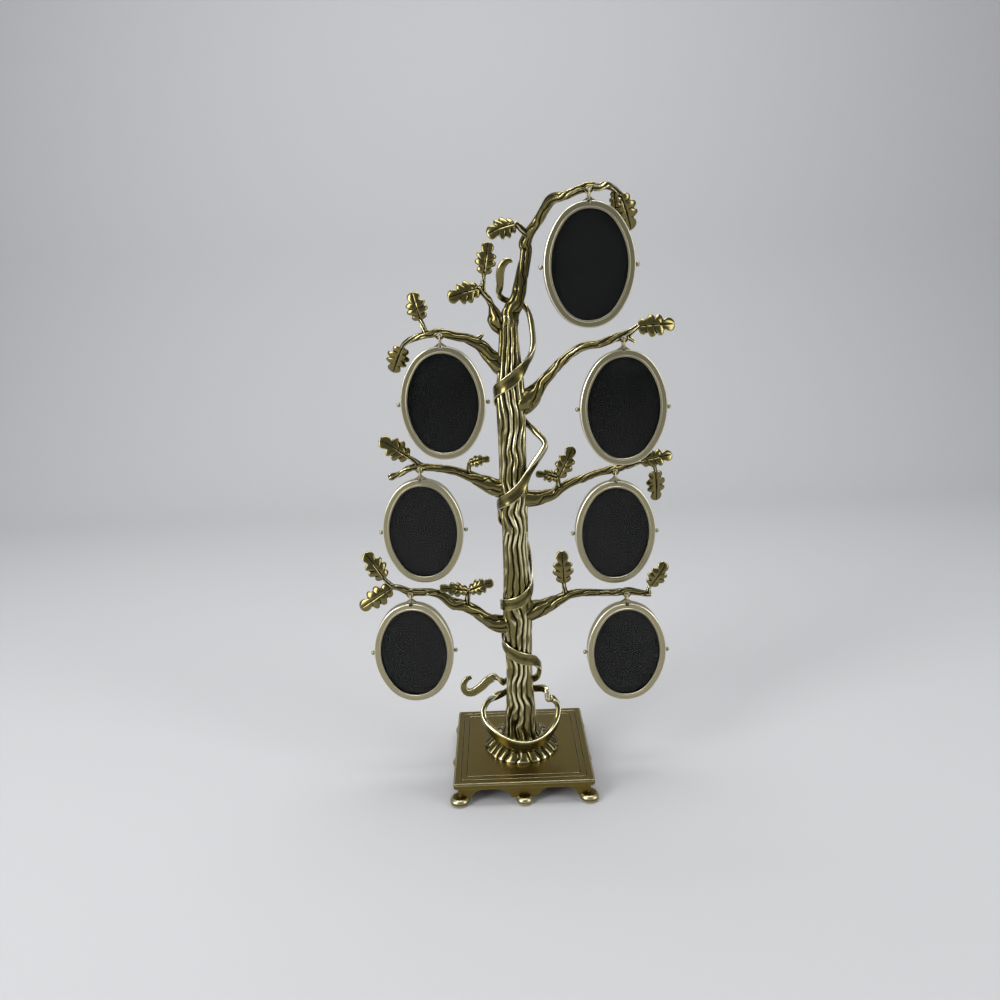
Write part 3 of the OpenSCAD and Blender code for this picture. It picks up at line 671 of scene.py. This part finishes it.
def leaf_mesh(stem, tip, width, face=(0, -1, 0), bow=1.5):
    """A leaf as points and faces, in millimetres, from its stem to its tip."""
    stem, tip = np.array(stem, float), np.array(tip, float)
    size = np.linalg.norm(tip - stem)
    along = (tip - stem) / size
    face = np.array(face, float)
    normal = face - (face @ along) * along
    normal /= np.linalg.norm(normal)
    side = np.cross(normal, along)
    s = np.linspace(0, 1, LEAF_ROWS)[:, None]
    u = np.linspace(-1, 1, LEAF_COLUMNS)[None, :]
    fullness = LEAF_CORE * np.sin(np.pi * s).clip(0) ** CORE_BLUNTNESS
    for place, reach, share in LEAF_LOBES:
        lobe = (1 - ((s - place) / reach) ** 2).clip(0) ** LOBE_BLUNTNESS
        fullness = np.maximum(fullness, share * lobe)
    half = np.maximum(STALK_HALF_WIDTH, width / 2 * fullness)
    off_rib = np.abs(u) * half
    puff = LEAF_PUFF * fullness * np.sin(np.pi * np.abs(u)) ** PUFF_BLUNTNESS
    groove = GROOVE_DEPTH * np.exp(-(off_rib / GROOVE_REACH) ** 2) * (1 - s ** 2)
    rise = bow * np.sin(np.pi * s) + puff - groove - LEAF_FALL * off_rib
    thick = LEAF_HALF_THICKNESS - LEAF_THINNING * np.abs(u)
    swept = s + LEAF_SWEEP * u ** 2 * np.sin(np.pi * s)
    base = stem + swept[..., None] * along * size + (u * half)[..., None] * side
    top = base + (rise + thick)[..., None] * normal
    bottom = base + (rise - thick)[..., None] * normal
    rows, columns = top.shape[:2]
    points = np.concatenate([top.reshape(-1, 3), bottom.reshape(-1, 3)])
    faces = []
    below = rows * columns

    def at(i, j):
        return i * columns + j

    for i in range(rows - 1):
        for j in range(columns - 1):
            quad = (at(i, j), at(i, j + 1), at(i + 1, j + 1), at(i + 1, j))
            faces += [quad, tuple(below + k for k in reversed(quad))]
    rim = [at(0, j) for j in range(columns)] + [at(i, columns - 1) for i in range(1, rows)]
    rim += [at(rows - 1, j) for j in range(columns - 2, -1, -1)]
    rim += [at(i, 0) for i in range(rows - 2, 0, -1)]
    for a, b in zip(rim, rim[1:] + rim[:1]):
        faces.append((a, below + a, below + b, b))
    return points * MM, faces


# %% Joining, remeshing and drilling
VOXEL = 0.25 * MM
SOFTENING = 3
BIT_LENGTH = 20
BIT_SIDES = 40


def joined(name, objects):
    build = bmesh.new()
    for obj in objects:
        build.from_mesh(obj.data)
        bpy.data.objects.remove(obj)
    bmesh.ops.recalc_face_normals(build, faces=build.faces)
    mesh = bpy.data.meshes.new(name)
    build.to_mesh(mesh)
    build.free()
    return add_object(name, mesh)


def applied(obj):
    """Turns what the modifiers make into the object's own mesh."""
    bpy.context.view_layer.update()
    evaluated = obj.evaluated_get(bpy.context.evaluated_depsgraph_get())
    mesh = bpy.data.meshes.new_from_object(evaluated)
    obj.modifiers.clear()
    obj.data = mesh
    return obj


def remeshed(obj):
    skin = obj.modifiers.new("skin", "REMESH")
    skin.mode = "VOXEL"
    skin.voxel_size = VOXEL
    relax = obj.modifiers.new("relax", "SMOOTH")
    relax.factor = 0.5
    relax.iterations = SOFTENING
    return applied(obj)


def disc_object(name, at, radius, depth, segments):
    """A round disc or rod that lies from front to back. Sizes are in millimetres."""
    build = bmesh.new()
    turn = Matrix.Translation(Vector(at) * MM) @ Matrix.Rotation(math.pi / 2, 4, "X")
    bmesh.ops.create_cone(build, cap_ends=True, segments=segments, radius1=radius * MM,
                          radius2=radius * MM, depth=depth * MM, matrix=turn)
    mesh = bpy.data.meshes.new(name)
    build.to_mesh(mesh)
    build.free()
    return add_object(name, mesh)


def drilled(obj, at, radius):
    bit = disc_object("bit", at, radius, BIT_LENGTH, BIT_SIDES)
    cut = obj.modifiers.new("hole", "BOOLEAN")
    cut.operation = "DIFFERENCE"
    cut.solver = "EXACT"
    cut.object = bit
    applied(obj)
    bpy.data.objects.remove(bit)


# %% Eyelets
# The middle of the hole that each ring hangs in, from the top frame down, left before right
HOLES = [[38.3, -16, 306.6], [-34.2, -2, 243], [55.2, -12, 238.8], [-48.6, 2, 175],
         [53.9, 5, 169.6], [-57, -5, 108.7], [59, -3, 103.7]]
HOLE_R = 1
EYELET_R = 2.4
EYELET_DEPTH = 3
EYELET_SIDES = 48
print(len(HOLES), "eyelets, with a hole of", 2 * HOLE_R, "mm")


# %% [markdown]
# The points of each limb are chosen along the photographed branch, from root to tip, with the radius
# there. The first limb of each gets one more point inside the trunk, so that no gap shows in a groove.
# The bark turns as it runs, which draws a slow rope on a thin limb and a swirl on a swollen root.

# %% Branches
# A limb is rows of [x, y, z, radius]. A leaf is its stem, its tip, its width and which way it faces.
FRONT = (0, -1, 0)
BRANCHES = {
    "top_branch": {
        "hole": 0,
        "limbs": [
            [[0, 0, 247, 4.6], [1.4, 0.1, 252.4, 4.3], [5, 1, 259.6, 3.6], [8, 6.2, 271.8, 2.9],
             [10, 7.6, 281.5, 2.8], [9.6, 6.8, 285.2, 2.9], [11.6, 4.6, 289.9, 2.5],
             [15.8, 0, 294.8, 2.2], [19, -4, 299.7, 2.2], [21.9, -8.5, 303.3, 2.3],
             [27.4, -13.2, 304.1, 1.9], [32.4, -15.3, 305.8, 1.7], [38.2, -16, 307.4, 1.9],
             [42.7, -15.5, 306.9, 1.5], [46.6, -13.5, 307.9, 1.5], [50.7, -10.5, 306.7, 1.3],
             [54.3, -7.5, 304.7, 1]],
            [[11, 4, 288.6, 1.7], [7.7, 3.5, 291.8, 1.4], [4.9, 3, 295, 0.9]]],
        "leaves": [
            [[5.2, 3, 294.2], [-8.9, 0, 289.3], 12, [0, -1, 0.4]],
            [[53.8, -7.8, 305.2], [60.7, 0.5, 289.2], 12, FRONT],
            [[50.9, -10, 306.4], [53.4, -2.5, 296.9], 6, [-0.3, -1, 0]]]},
    "knot_twig": {
        "hole": None,
        "limbs": [
            [[-4.2, 0, 243.4, 1.6], [-5.5, -0.6, 246.4, 3.2], [-6.2, -0.9, 249.8, 4],
             [-6.9, -1, 253, 2.9], [-7.8, -1.3, 256, 1.5], [-9.4, -2, 259.2, 1.4],
             [-12.1, -3, 262.8, 1.4], [-13.9, -4, 265.5, 1.1]],
            [[-12.1, -3, 262.8, 1.2], [-11.6, -3, 268, 0.9], [-11.1, -3, 272, 0.7]]],
        "leaves": [
            [[-11.3, -3, 270.4], [-8.4, -2, 286], 10.5, FRONT],
            [[-13.2, -3.6, 264.6], [-29, -7, 260.3], 11.5, [0.2, -1, 0.3]]]},
    "left_upper_branch": {
        "hole": 1,
        "limbs": [
            [[-4.4, 0, 226.4, 4.4], [-8, 0, 229.9, 3.9], [-10.8, 0, 233, 3.4], [-14.2, 0, 237.2, 2.8],
             [-21, -0.5, 240.8, 2.3], [-27, -1.4, 242.4, 2], [-34, -2, 244.2, 2],
             [-38, -2, 243.7, 1.8], [-41.5, -1.6, 243.1, 1.6], [-47.2, 0.4, 241.8, 1.4],
             [-51.6, 3.2, 239.7, 1.2], [-54.1, 5.4, 237.5, 0.9]],
            [[-16.6, 0, 239.2, 1.4], [-14, -0.6, 241.6, 0.9], [-12.6, -1, 242.6, 0.4]],
            [[-40.8, -2, 243.4, 1.3], [-42.4, -1, 248, 1], [-43.6, 0, 251.5, 0.8]]],
        "leaves": [
            [[-43.2, -0.3, 250], [-47, 1, 264], 11, FRONT],
            [[-53.7, 5, 238], [-60.6, 13.5, 224.5], 12, [0.2, -1, 0.2]]]},
    "right_upper_branch": {
        "hole": 2,
        "limbs": [
            [[5, 0, 207.6, 6.4], [9.8, 0, 210.4, 5.5], [13.4, -1, 214.4, 3.7], [17, -2, 218.8, 2.7],
             [21.7, -4, 223.8, 2.3], [25.6, -6, 228.2, 2.1], [32.1, -8, 233.2, 1.9],
             [37.3, -10, 235.6, 1.9], [43.5, -11, 236.4, 1.8], [49.2, -12, 238.4, 1.8],
             [54.8, -12, 240.2, 1.8], [58.4, -12, 241.6, 1.4], [62.4, -11, 244.3, 0.9]],
            [[56, -12, 240.2, 1.3], [59, -12, 238.2, 0.8], [61, -12, 236.6, 0.4]]],
        "leaves": [
            [[61.6, -11.2, 243.8], [80.7, -9, 244.4], 11.5, [0, -1, 0.3]]]},
    "left_middle_branch": {
        "hole": 3,
        "limbs": [
            [[-4.5, 0, 162.6, 4.6], [-9.5, 0, 164, 4.6], [-15.3, 0, 167, 3.7], [-22.2, 0, 170.4, 2.7],
             [-29.2, 0.5, 173.2, 2.2], [-35.9, 1, 174.8, 1.9], [-42.2, 1.5, 175.4, 1.8],
             [-48.5, 2, 176.2, 1.8], [-54.2, 2, 175.3, 1.5], [-58.8, 2, 172.8, 1.3],
             [-62.4, 2, 171.7, 1.6], [-64, 2, 171.3, 1.8], [-65.3, 2, 171.1, 0.9]],
            [[-23.4, 0, 171.6, 1.3], [-23, -0.5, 175, 1], [-22.6, -1, 178.4, 0.8]],
            [[-47.4, 2, 176.2, 1.4], [-51.4, 1.6, 179.6, 1.2], [-54.4, 1, 182, 0.8]]],
        "leaves": [
            [[-53.4, 1, 181.2], [-68.2, 0, 191.6], 12, [0.2, -1, 0.3]],
            [[-23.1, -1, 177.6], [-11.6, -3, 179.9], 6.5, [0, -1, 0.5]]]},
    "right_middle_branch": {
        "hole": 4,
        "limbs": [
            [[4.6, 0, 157.4, 4.4], [9, 0, 157.4, 4.2], [14.5, 0.5, 157.7, 3.7], [20.2, 1, 158.9, 2.9],
             [24.5, 2, 161.6, 2.3], [29.7, 3, 164.2, 2], [36.9, 4, 166.2, 1.9], [43.9, 5, 168.4, 1.8],
             [53.7, 5, 170.6, 1.9], [61.1, 5, 172, 1.5], [67.6, 5, 174, 1]],
            [[67.6, 5, 173.7, 1.2], [71.7, 7, 172.6, 1.1], [75.4, 9.2, 170.3, 0.9],
             [76.7, 11.6, 167, 0.7]],
            [[23.6, 1.9, 160.8, 1.4], [23.6, 1.4, 165, 1.1], [23.4, 1, 168.6, 0.9]]],
        "leaves": [
            [[67, 5, 173.9], [84.2, 6, 176.8], 10, [0, -1, 0.4]],
            [[76.5, 11.4, 167.9], [79.5, 22.5, 148], 10.5, FRONT, 1],
            [[23.6, 1, 167.6], [11.6, -1, 170.8], 7, [0, -1, 0.5]],
            [[23.5, 1, 167.4], [31.4, 2, 183.8], 10, FRONT]]},
    "left_lower_branch": {
        "hole": 5,
        "limbs": [
            [[-4.6, 0, 86, 4.5], [-9.5, 0, 87, 4.7], [-13.5, -0.4, 88.6, 4.2], [-18.3, -1, 91.6, 3.2],
             [-23.6, -2, 96.4, 2.9], [-28.6, -3, 99.6, 3], [-34.2, -4, 101.4, 3],
             [-39.8, -4.4, 105.8, 2.2], [-44.6, -5, 108.6, 1.9], [-51.9, -5, 109.2, 1.8],
             [-57.3, -5, 109.6, 1.8], [-63, -5, 112, 1.5], [-67.2, -5, 112.7, 1.2]],
            [[-27.2, -2.8, 100, 1.5], [-26.4, -3.6, 105.5, 1.2], [-25.8, -4, 109.6, 1]],
            [[-66, -5, 112.6, 1.2], [-69.4, -5, 116, 1], [-71, -5, 118.6, 0.8]]],
        "leaves": [
            [[-70, -5, 117], [-79.8, -4, 132], 11.5, [0.3, -1, 0.2]],
            [[-66.4, -5, 112.6], [-84.2, -6, 101.4], 11.5, [0.2, -1, 0.4]],
            [[-25.8, -4, 108.6], [-41.5, -7.5, 112], 8, [0, -1, 0.5]],
            [[-26, -4, 108.6], [-12.4, -5.5, 113.6], 9, [0, -1, 0.5]]]},
    "right_lower_branch": {
        "hole": 6,
        "limbs": [
            [[4.6, 0, 93.6, 5.2], [9.5, 0, 94.8, 5], [14.8, -1, 96.6, 4.2], [21.9, -2, 100.6, 3],
             [28.3, -3, 103.8, 2.3], [37.2, -3, 104.8, 1.9], [45.8, -3, 104.2, 1.7],
             [53.6, -3, 104.2, 1.7], [59.4, -3, 104.8, 1.8], [66, -3, 103.6, 1.6],
             [70.4, -3, 102.8, 1.4], [72.6, -3, 102.4, 1]],
            [[26.3, -2.7, 103.4, 1.3], [25.4, -3, 108.6, 1], [25.2, -3, 112, 0.8]],
            [[70.6, -3, 102.8, 1.1], [71.1, -3, 106, 0.9], [72.4, -3, 108.4, 0.7]]],
        "leaves": [
            [[25.3, -3, 110], [24.4, -4, 129.2], 11.5, FRONT],
            [[71.6, -3, 106.8], [79.6, -4, 120.6], 10.5, FRONT]]},
}


BRANCH_TURNS = 60.0
TOP_BRANCH_TURNS = 35.0


def rooted(rows):
    """The rows with one more at the start, a step back inside the trunk and half as thick."""
    first, second = np.array(rows[0], float), np.array(rows[1], float)
    inner = 2 * first - second
    inner[3] = first[3] / 2
    return [list(inner), *rows]


def branch_piece(node, parts, seed):
    hole = None if parts["hole"] is None else HOLES[parts["hole"]]
    main, *twigs = parts["limbs"]
    runs = [radius_run(rows) for rows in (rooted(main), *twigs)]
    turns = TOP_BRANCH_TURNS if node == "top_branch" else BRANCH_TURNS
    wood = grown(path_object("wood", runs), LIMB_BARK,
                 {"Step": 0.0003, "Sides": 48, "Ridges": 5, "Depth": 0.0008, "Sharpness": 0.7,
                  "Turns per metre": turns, "Wander": 2.4, "Wander scale": 110.0, "Seed": seed})
    members = [wood]
    for leaf in parts["leaves"]:
        points, faces = leaf_mesh(*leaf)
        members.append(mesh_object("leaf", points, faces))
    if hole:
        members.append(disc_object("eyelet", hole, EYELET_R, EYELET_DEPTH, EYELET_SIDES))
    piece = remeshed(joined("cast_" + node, members))
    if hole:
        drilled(piece, hole, HOLE_R)
    finish_cast(piece, node, ridges=1.3)


for number, (node, parts) in enumerate(BRANCHES.items()):
    branch_piece(node, parts, float(number))


# %% [markdown]
# The vine is a flat band, cupped between two raised rims, that widens like a leaf wherever it crosses
# the front. A swept profile can only be scaled evenly, so this tree uses the sweep for its topology
# alone. It captures the path's position and tangent, reads the facing, half width and half thickness
# that the path carries, and moves each point of the tube to its place in the band's own section.

# %% The vine tree
def vine_tree():
    tree, given, result = geometry_tree("flat_vine", [
        ("Step", "NodeSocketFloat", 0.0004), ("Sides", "NodeSocketInt", 28),
        ("Hollow", "NodeSocketFloat", 0.0006), ("Squareness", "NodeSocketFloat", 0.5),
        ("Material", "NodeSocketMaterial", None)])
    place = placed_node(tree, "GeometryNodeInputPosition").outputs["Position"]
    direction = placed_node(tree, "GeometryNodeInputTangent").outputs["Tangent"]
    path, centre = captured(tree, even_path(tree, given), "VECTOR", place)
    path, tangent = captured(tree, path, "VECTOR", direction)
    section, around = round_section(tree, given)
    tube = placed_node(tree, "GeometryNodeCurveToMesh",
                       {"Curve": path, "Profile Curve": section, "Fill Caps": True, "Scale": MM})
    facing = named(tree, "facing", "FLOAT_VECTOR")
    lean = scaled(tree, tangent, vector_node(tree, "DOT_PRODUCT", facing, tangent, out="Value"))
    outward = vector_node(tree, "NORMALIZE", vector_node(tree, "SUBTRACT", facing, lean))
    across = vector_node(tree, "CROSS_PRODUCT", outward, tangent)
    angle = math_node(tree, "MULTIPLY", around, 2 * math.pi)
    u = math_node(tree, "COSINE", angle)
    up = math_node(tree, "SINE", angle)
    wide = math_node(tree, "MULTIPLY", u, named(tree, "half_width"))
    squared_off = math_node(tree, "MULTIPLY", math_node(tree, "SIGN", up),
                            math_node(tree, "POWER", math_node(tree, "ABSOLUTE", up), given["Squareness"]))
    dish = math_node(tree, "MULTIPLY", math_node(tree, "POWER", up, 2.0), given["Hollow"])
    front_only = math_node(tree, "MULTIPLY", dish, math_node(tree, "GREATER_THAN", up, 0.0))
    thick = math_node(tree, "MULTIPLY", squared_off, named(tree, "half_thickness"))
    high = math_node(tree, "SUBTRACT", thick, front_only)
    spot = vector_node(tree, "ADD", centre, vector_node(tree, "ADD", scaled(tree, across, wide),
                                                        scaled(tree, outward, high)))
    moved = placed_node(tree, "GeometryNodeSetPosition",
                        {"Geometry": tube.outputs["Mesh"], "Position": spot})
    coated(tree, moved, given, result)
    return tree


FLAT_VINE = vine_tree()
print("vine tree:", FLAT_VINE.name)


# %% Vine paths
# Rows of [angle round the trunk, distance from its axis, height, half width], in degrees and
# millimetres. The angle starts at the front and grows to the right.
VINE = [
    [255, 9.4, 50.4, 2], [215, 9, 49.4, 1.8], [160, 8.9, 49.4, 1.8], [118, 9, 51, 1.9],
    [98, 10.8, 55, 2], [88, 11.4, 61, 2.3], [66, 9.4, 66, 2.9], [30, 8.6, 68.6, 3.3],
    [-5, 8.6, 71, 3.3], [-45, 8.7, 74.4, 2.9], [-90, 8.8, 77.4, 2.6], [-135, 8.9, 82, 2.3],
    [-155, 9, 88.6, 2.3], [-135, 9, 95, 2.3], [-95, 9, 98.4, 2.7], [-50, 8.9, 100.4, 3.1],
    [0, 8.8, 102.6, 3.2], [40, 8.7, 106, 3.1], [75, 8.5, 111, 2.7], [95, 8.3, 117.4, 2.3],
    [112, 8.1, 125, 1.9], [135, 8, 132, 1.9], [180, 8, 138, 1.9], [230, 8.1, 143.4, 2],
    [262, 8.4, 148.4, 2.2], [278, 8.6, 153.4, 2.4], [305, 8.7, 156.8, 2.8], [340, 8.8, 159.6, 3.2],
    [375, 8.7, 163.8, 3.2], [405, 8.8, 169.4, 2.9], [422, 11.5, 176, 2.6], [433, 16, 183, 2.3],
    [440, 17.2, 187.2, 2], [455, 12.4, 192.6, 2], [475, 8.8, 196.6, 2], [520, 8.7, 201, 2],
    [570, 8.4, 205.6, 2.2], [610, 8.4, 209, 2.3], [635, 8.4, 212.4, 2.6], [660, 8.5, 214.8, 2.9],
    [705, 8.3, 218.4, 3.2], [745, 8.2, 222.6, 3.2], [778, 8.8, 227, 2.8], [795, 11, 231.4, 2.3],
    [805, 12.3, 237, 2], [812, 12, 244, 1.9], [820, 11, 250.6, 1.8], [835, 9.4, 255.2, 1.7],
    [870, 7.8, 257.4, 1.5], [915, 6.8, 259, 1.5], [950, 5.6, 262, 1.5]]
ROOT_VINE = [
    [232, 9.2, 43.4, 1.8], [250, 9.8, 43.2, 1.9], [268, 13.8, 42.8, 2], [272, 18.2, 41, 2.1],
    [279, 21.4, 36.8, 2.3], [290, 21.2, 31.4, 2.5], [310, 19.2, 27, 2.8], [335, 17.8, 23.8, 2.9],
    [362, 17.2, 22, 2.9], [390, 17.6, 22.4, 2.8], [417, 19, 25.6, 2.5], [436, 21, 30.6, 2.3],
    [446, 21.4, 36.6, 2.1], [448, 18.6, 40.6, 2], [444, 15.8, 41.8, 2], [446, 15.4, 45.4, 2],
    [456, 13.6, 46.2, 2], [480, 9.6, 44.6, 1.9], [510, 9.2, 43.8, 1.8]]
# Rows of [x, y, z, half width, facing x, y, z] for the free ends
VINE_TOP = [
    [-3.4, 1.4, 266, 1.8, 0, 1, 0], [-3.4, -0.6, 270.4, 2.1, 0, 1, 0], [-2.4, -2.2, 274.2, 2, 0, 1, 0],
    [0.2, -3.2, 276.8, 1.5, 0, 1, 0], [3, -4.4, 276.6, 0.7, 0, 1, 0]]
VINE_TAIL = [
    [-26.6, -4, 57.6, 0.9, 0, -1, 0], [-29.6, -4, 56.2, 1.4, 0, -1, 0],
    [-31.4, -4, 52.4, 1.8, 0, -1, 0], [-30, -3.4, 48.6, 2, 0, -1, 0],
    [-26.4, -2.8, 47.8, 2.2, 0, -1, 0], [-21.7, -2, 50.4, 2.3, 0, -1, 0],
    [-17.8, -1, 53.8, 2.4, 0, -1, 0], [-14.4, 0.4, 54.8, 2.4, -0.5, -0.8, 0]]


def wound(rows):
    """Rows round the trunk as rows of [x, y, z, half width, facing x, y, z]."""
    out = []
    for angle, distance, height, half in smooth_rows(rows):
        a = math.radians(angle)
        facing = (math.sin(a), -math.cos(a), 0)
        out.append([distance * facing[0], distance * facing[1], height, half, *facing])
    return np.array(out)


HALF_THICKNESS = 0.85
FREE_HALF_THICKNESS = 1.8
# The band leaves the trunk at a distance from its axis, and its hook begins at a height. Each is
# [where, over how far it thickens].
FREE_FROM = [9.5, 2.5]
HOOK_FROM = [260, 5]
# The half thickness is at most PLUMPEST times the half width, which counts as NARROWEST at least
PLUMPEST = 0.9
NARROWEST = 0.5


def band_run(rows):
    """The band is thin where it lies on the trunk and plump where it swings free of it."""
    distance = np.hypot(rows[:, 0], rows[:, 1])
    swung = (distance - FREE_FROM[0]) / FREE_FROM[1]
    hooked = (rows[:, 2] - HOOK_FROM[0]) / HOOK_FROM[1]
    free = np.maximum(swung, hooked).clip(0, 1)
    half_thickness = HALF_THICKNESS + free * (FREE_HALF_THICKNESS - HALF_THICKNESS)
    half_thickness = np.minimum(half_thickness, PLUMPEST * rows[:, 3].clip(NARROWEST))
    return {"at": rows[:, :3] * MM, "half_width": rows[:, 3] * MM, "facing": rows[:, 4:7],
            "half_thickness": half_thickness * MM}


# %% Vines
def vine_piece(node, rows):
    vine = grown(path_object("cast_" + node, [band_run(rows)]), FLAT_VINE, {})
    finish_cast(vine, node, passes=14, hollows=0.2, ridges=1.6)


climbing_rows = np.concatenate([smooth_rows(VINE_TAIL), wound(VINE), smooth_rows(VINE_TOP)])
vine_piece("climbing_vine", climbing_rows)
vine_piece("root_vine", wound(ROOT_VINE))


# %% [markdown]
# The base plate's solid is right as it is, but its edges are knife sharp and would catch no light. A
# copy of it is welded, its flat faces are dissolved, and a small bevel rounds every edge, as casting
# and polishing do. The bevel's faces are known, so they carry the recess themselves: bare metal where
# they round an edge, which is partly wear and partly a painted highlight, and dark patina where they
# fill a corner or line an engraved groove. The feet and the chamfer round the plate are painted paler
# too, as highlights. The large faces are shaded flat, because smooth normals would bend the light
# across them.

# %% Base plate
WELD = 0.001 * MM
SAME_PLANE = math.radians(1)
EDGE_BEVEL = 0.25 * MM
SHARP_EDGE = math.radians(35)
# A face is slanted when the upward part of its normal lies between these
SLANTED = (0.2, 0.95)
# The engraved lines lie within this distance of the middle and between these two heights
LINES_WITHIN = 34 * MM
LINES_ABOVE = 10 * MM
LINES_BELOW_TOP = 0.05 * MM
FOOT_TOP = 4.3 * MM
# How far the rounded feet are painted towards bare brass, as a highlight
FOOT_PAINTED_HIGHLIGHT = -0.65
CHAMFER = 0.9 * MM
# How far the chamfer round the plate is painted towards bare brass, as a highlight
CHAMFER_PAINTED_HIGHLIGHT = -0.45
# Faces of this area and more are shaded flat
FLAT_FROM = 20 * MM ** 2


def eased_edges(mesh):
    """Rounds the sharp edges and returns each face's recess, with painted highlights on some."""
    build = bmesh.new()
    build.from_mesh(mesh)
    bmesh.ops.remove_doubles(build, verts=build.verts, dist=WELD)
    bmesh.ops.dissolve_limit(build, angle_limit=SAME_PLANE, verts=build.verts, edges=build.edges)
    sharp = [edge for edge in build.edges if edge.is_manifold and edge.calc_face_angle() > SHARP_EDGE]
    made = bmesh.ops.bevel(build, geom=sharp, offset=EDGE_BEVEL, segments=2, profile=0.5,
                           affect="EDGES", clamp_overlap=True)
    eased = set(made["faces"])
    recess = []
    for face in build.faces:
        middle = face.calc_center_median()
        inner = max(abs(middle.x), abs(middle.y)) < LINES_WITHIN
        engraved = inner and LINES_ABOVE < middle.z < PLATE_TOP * MM - LINES_BELOW_TOP
        bend = sum(edge.calc_face_angle_signed(0) for edge in face.edges)
        slanted = SLANTED[0] < abs(face.normal.z) < SLANTED[1]
        if engraved:
            recess.append(1)
        # A bevel round an edge goes bare, partly wear and partly a painted highlight line
        elif face in eased:
            recess.append(-math.copysign(1, bend))
        # The rounded feet and the chamfer are painted paler, as highlights
        elif slanted and middle.z < FOOT_TOP:
            recess.append(FOOT_PAINTED_HIGHLIGHT)
        elif slanted and middle.z > PLATE_TOP * MM - CHAMFER:
            recess.append(CHAMFER_PAINTED_HIGHLIGHT)
        else:
            recess.append(0)
    build.to_mesh(mesh)
    build.free()
    return recess


plate = add_object("eased_base_plate", NODES["base_plate"].data.copy())
plate_recess = eased_edges(plate.data)
plate.data.attributes.new("recess", "FLOAT", "FACE").data.foreach_set("value", plate_recess)
stand_for(plate, "base_plate", OLIVE_BRASS)
for face in plate.data.polygons:
    face.use_smooth = face.area < FLAT_FROM
print("base plate:", sum(recess < 0 for recess in plate_recess), "rubbed and highlighted faces and",
      sum(recess > 0 for recess in plate_recess), "dark ones")


# %% [markdown]
# The bezels' solids are already turned to the exact oval. A copy of each only says which faces round a
# rim, since those are painted paler than the satin face, as a highlight. Each side pin gets a small
# domed knob. The rings, panes and cards keep their solids.

# %% Bezels
# A face belongs to a rounded rim when the front part of its normal lies between these
ROUNDED = (0.15, 0.97)


def rimmed_copy(node, body):
    piece = add_object("rimmed_" + node, NODES[node].data.copy())
    piece.data.materials.clear()
    piece.data.materials.append(PALE_BRASS)
    count = len(piece.data.polygons)
    normals = np.zeros(count * 3, np.float32)
    piece.data.polygons.foreach_get("normal", normals)
    to_front = np.abs(normals.reshape(-1, 3)[:, 1])
    # These faces are painted paler in the material, as a highlight
    rounded = (to_front > ROUNDED[0]) & (to_front < ROUNDED[1])
    piece.data.attributes.new("rim", "FLOAT", "FACE").data.foreach_set("value", rounded.astype(np.float32))
    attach(piece, body)
    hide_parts(node)


# %% Side pins
# The height of a frame's middle from the hole that its ring hangs in
OVAL_Z = -33.8
# Rows of [distance from the oval's middle, radius] along a side pin
PIN_PROFILE = [[19.6, 0.001], [19.6, 0.5], [21.8, 0.5], [21.9, 0.8], [22.15, 1.05], [22.6, 1.2],
               [23.05, 1.15], [23.4, 0.85], [23.62, 0.45], [23.7, 0.001]]
PIN_SIDES = 24


def pin_mesh(hole):
    """Both pins of one frame, as points and faces in millimetres."""
    points, faces = [], []
    for side in (-1, 1):
        start = len(points)
        for reach, radius in PIN_PROFILE:
            for k in range(PIN_SIDES):
                a = 2 * math.pi * k / PIN_SIDES
                points.append([hole[0] + side * reach, hole[1] + side * radius * math.cos(a),
                               hole[2] + OVAL_Z + radius * math.sin(a)])
        for row in range(len(PIN_PROFILE) - 1):
            for k in range(PIN_SIDES):
                a, b = start + row * PIN_SIDES + k, start + row * PIN_SIDES + (k + 1) % PIN_SIDES
                faces.append((a, a + PIN_SIDES, b + PIN_SIDES, b))
    return np.array(points) * MM, faces


def domed_pins(number):
    points, faces = pin_mesh(HOLES[number - 1])
    piece = joined(f"domed_pins_{number}", [mesh_object("pins", points, faces)])
    piece.data.materials.append(PALE_BRASS)
    piece.data.shade_smooth()
    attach(piece, f"frame_{number}")
    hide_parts(f"side_pins_{number}")


# %% All the frames
def finish_node(node, material):
    slots = NODES[node].data.materials
    slots.clear()
    slots.append(material)


finish_node("base_bolt", ANTIQUE_BRASS)
for number in range(1, len(HOLES) + 1):
    rimmed_copy(f"front_bezel_{number}", f"front_{number}")
    rimmed_copy(f"back_bezel_{number}", f"frame_{number}")
    domed_pins(number)
    finish_node(f"jump_ring_{number}", PALE_BRASS)
    finish_node(f"panes_{number}", CLEAR_GLASS)
    finish_node(f"photo_card_{number}", BLACK_CARD)
print("frames finished:", number)


# %% Finish
size = {"cad": cad_box, "visual": [list(corner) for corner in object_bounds()]}
print("size:", size)
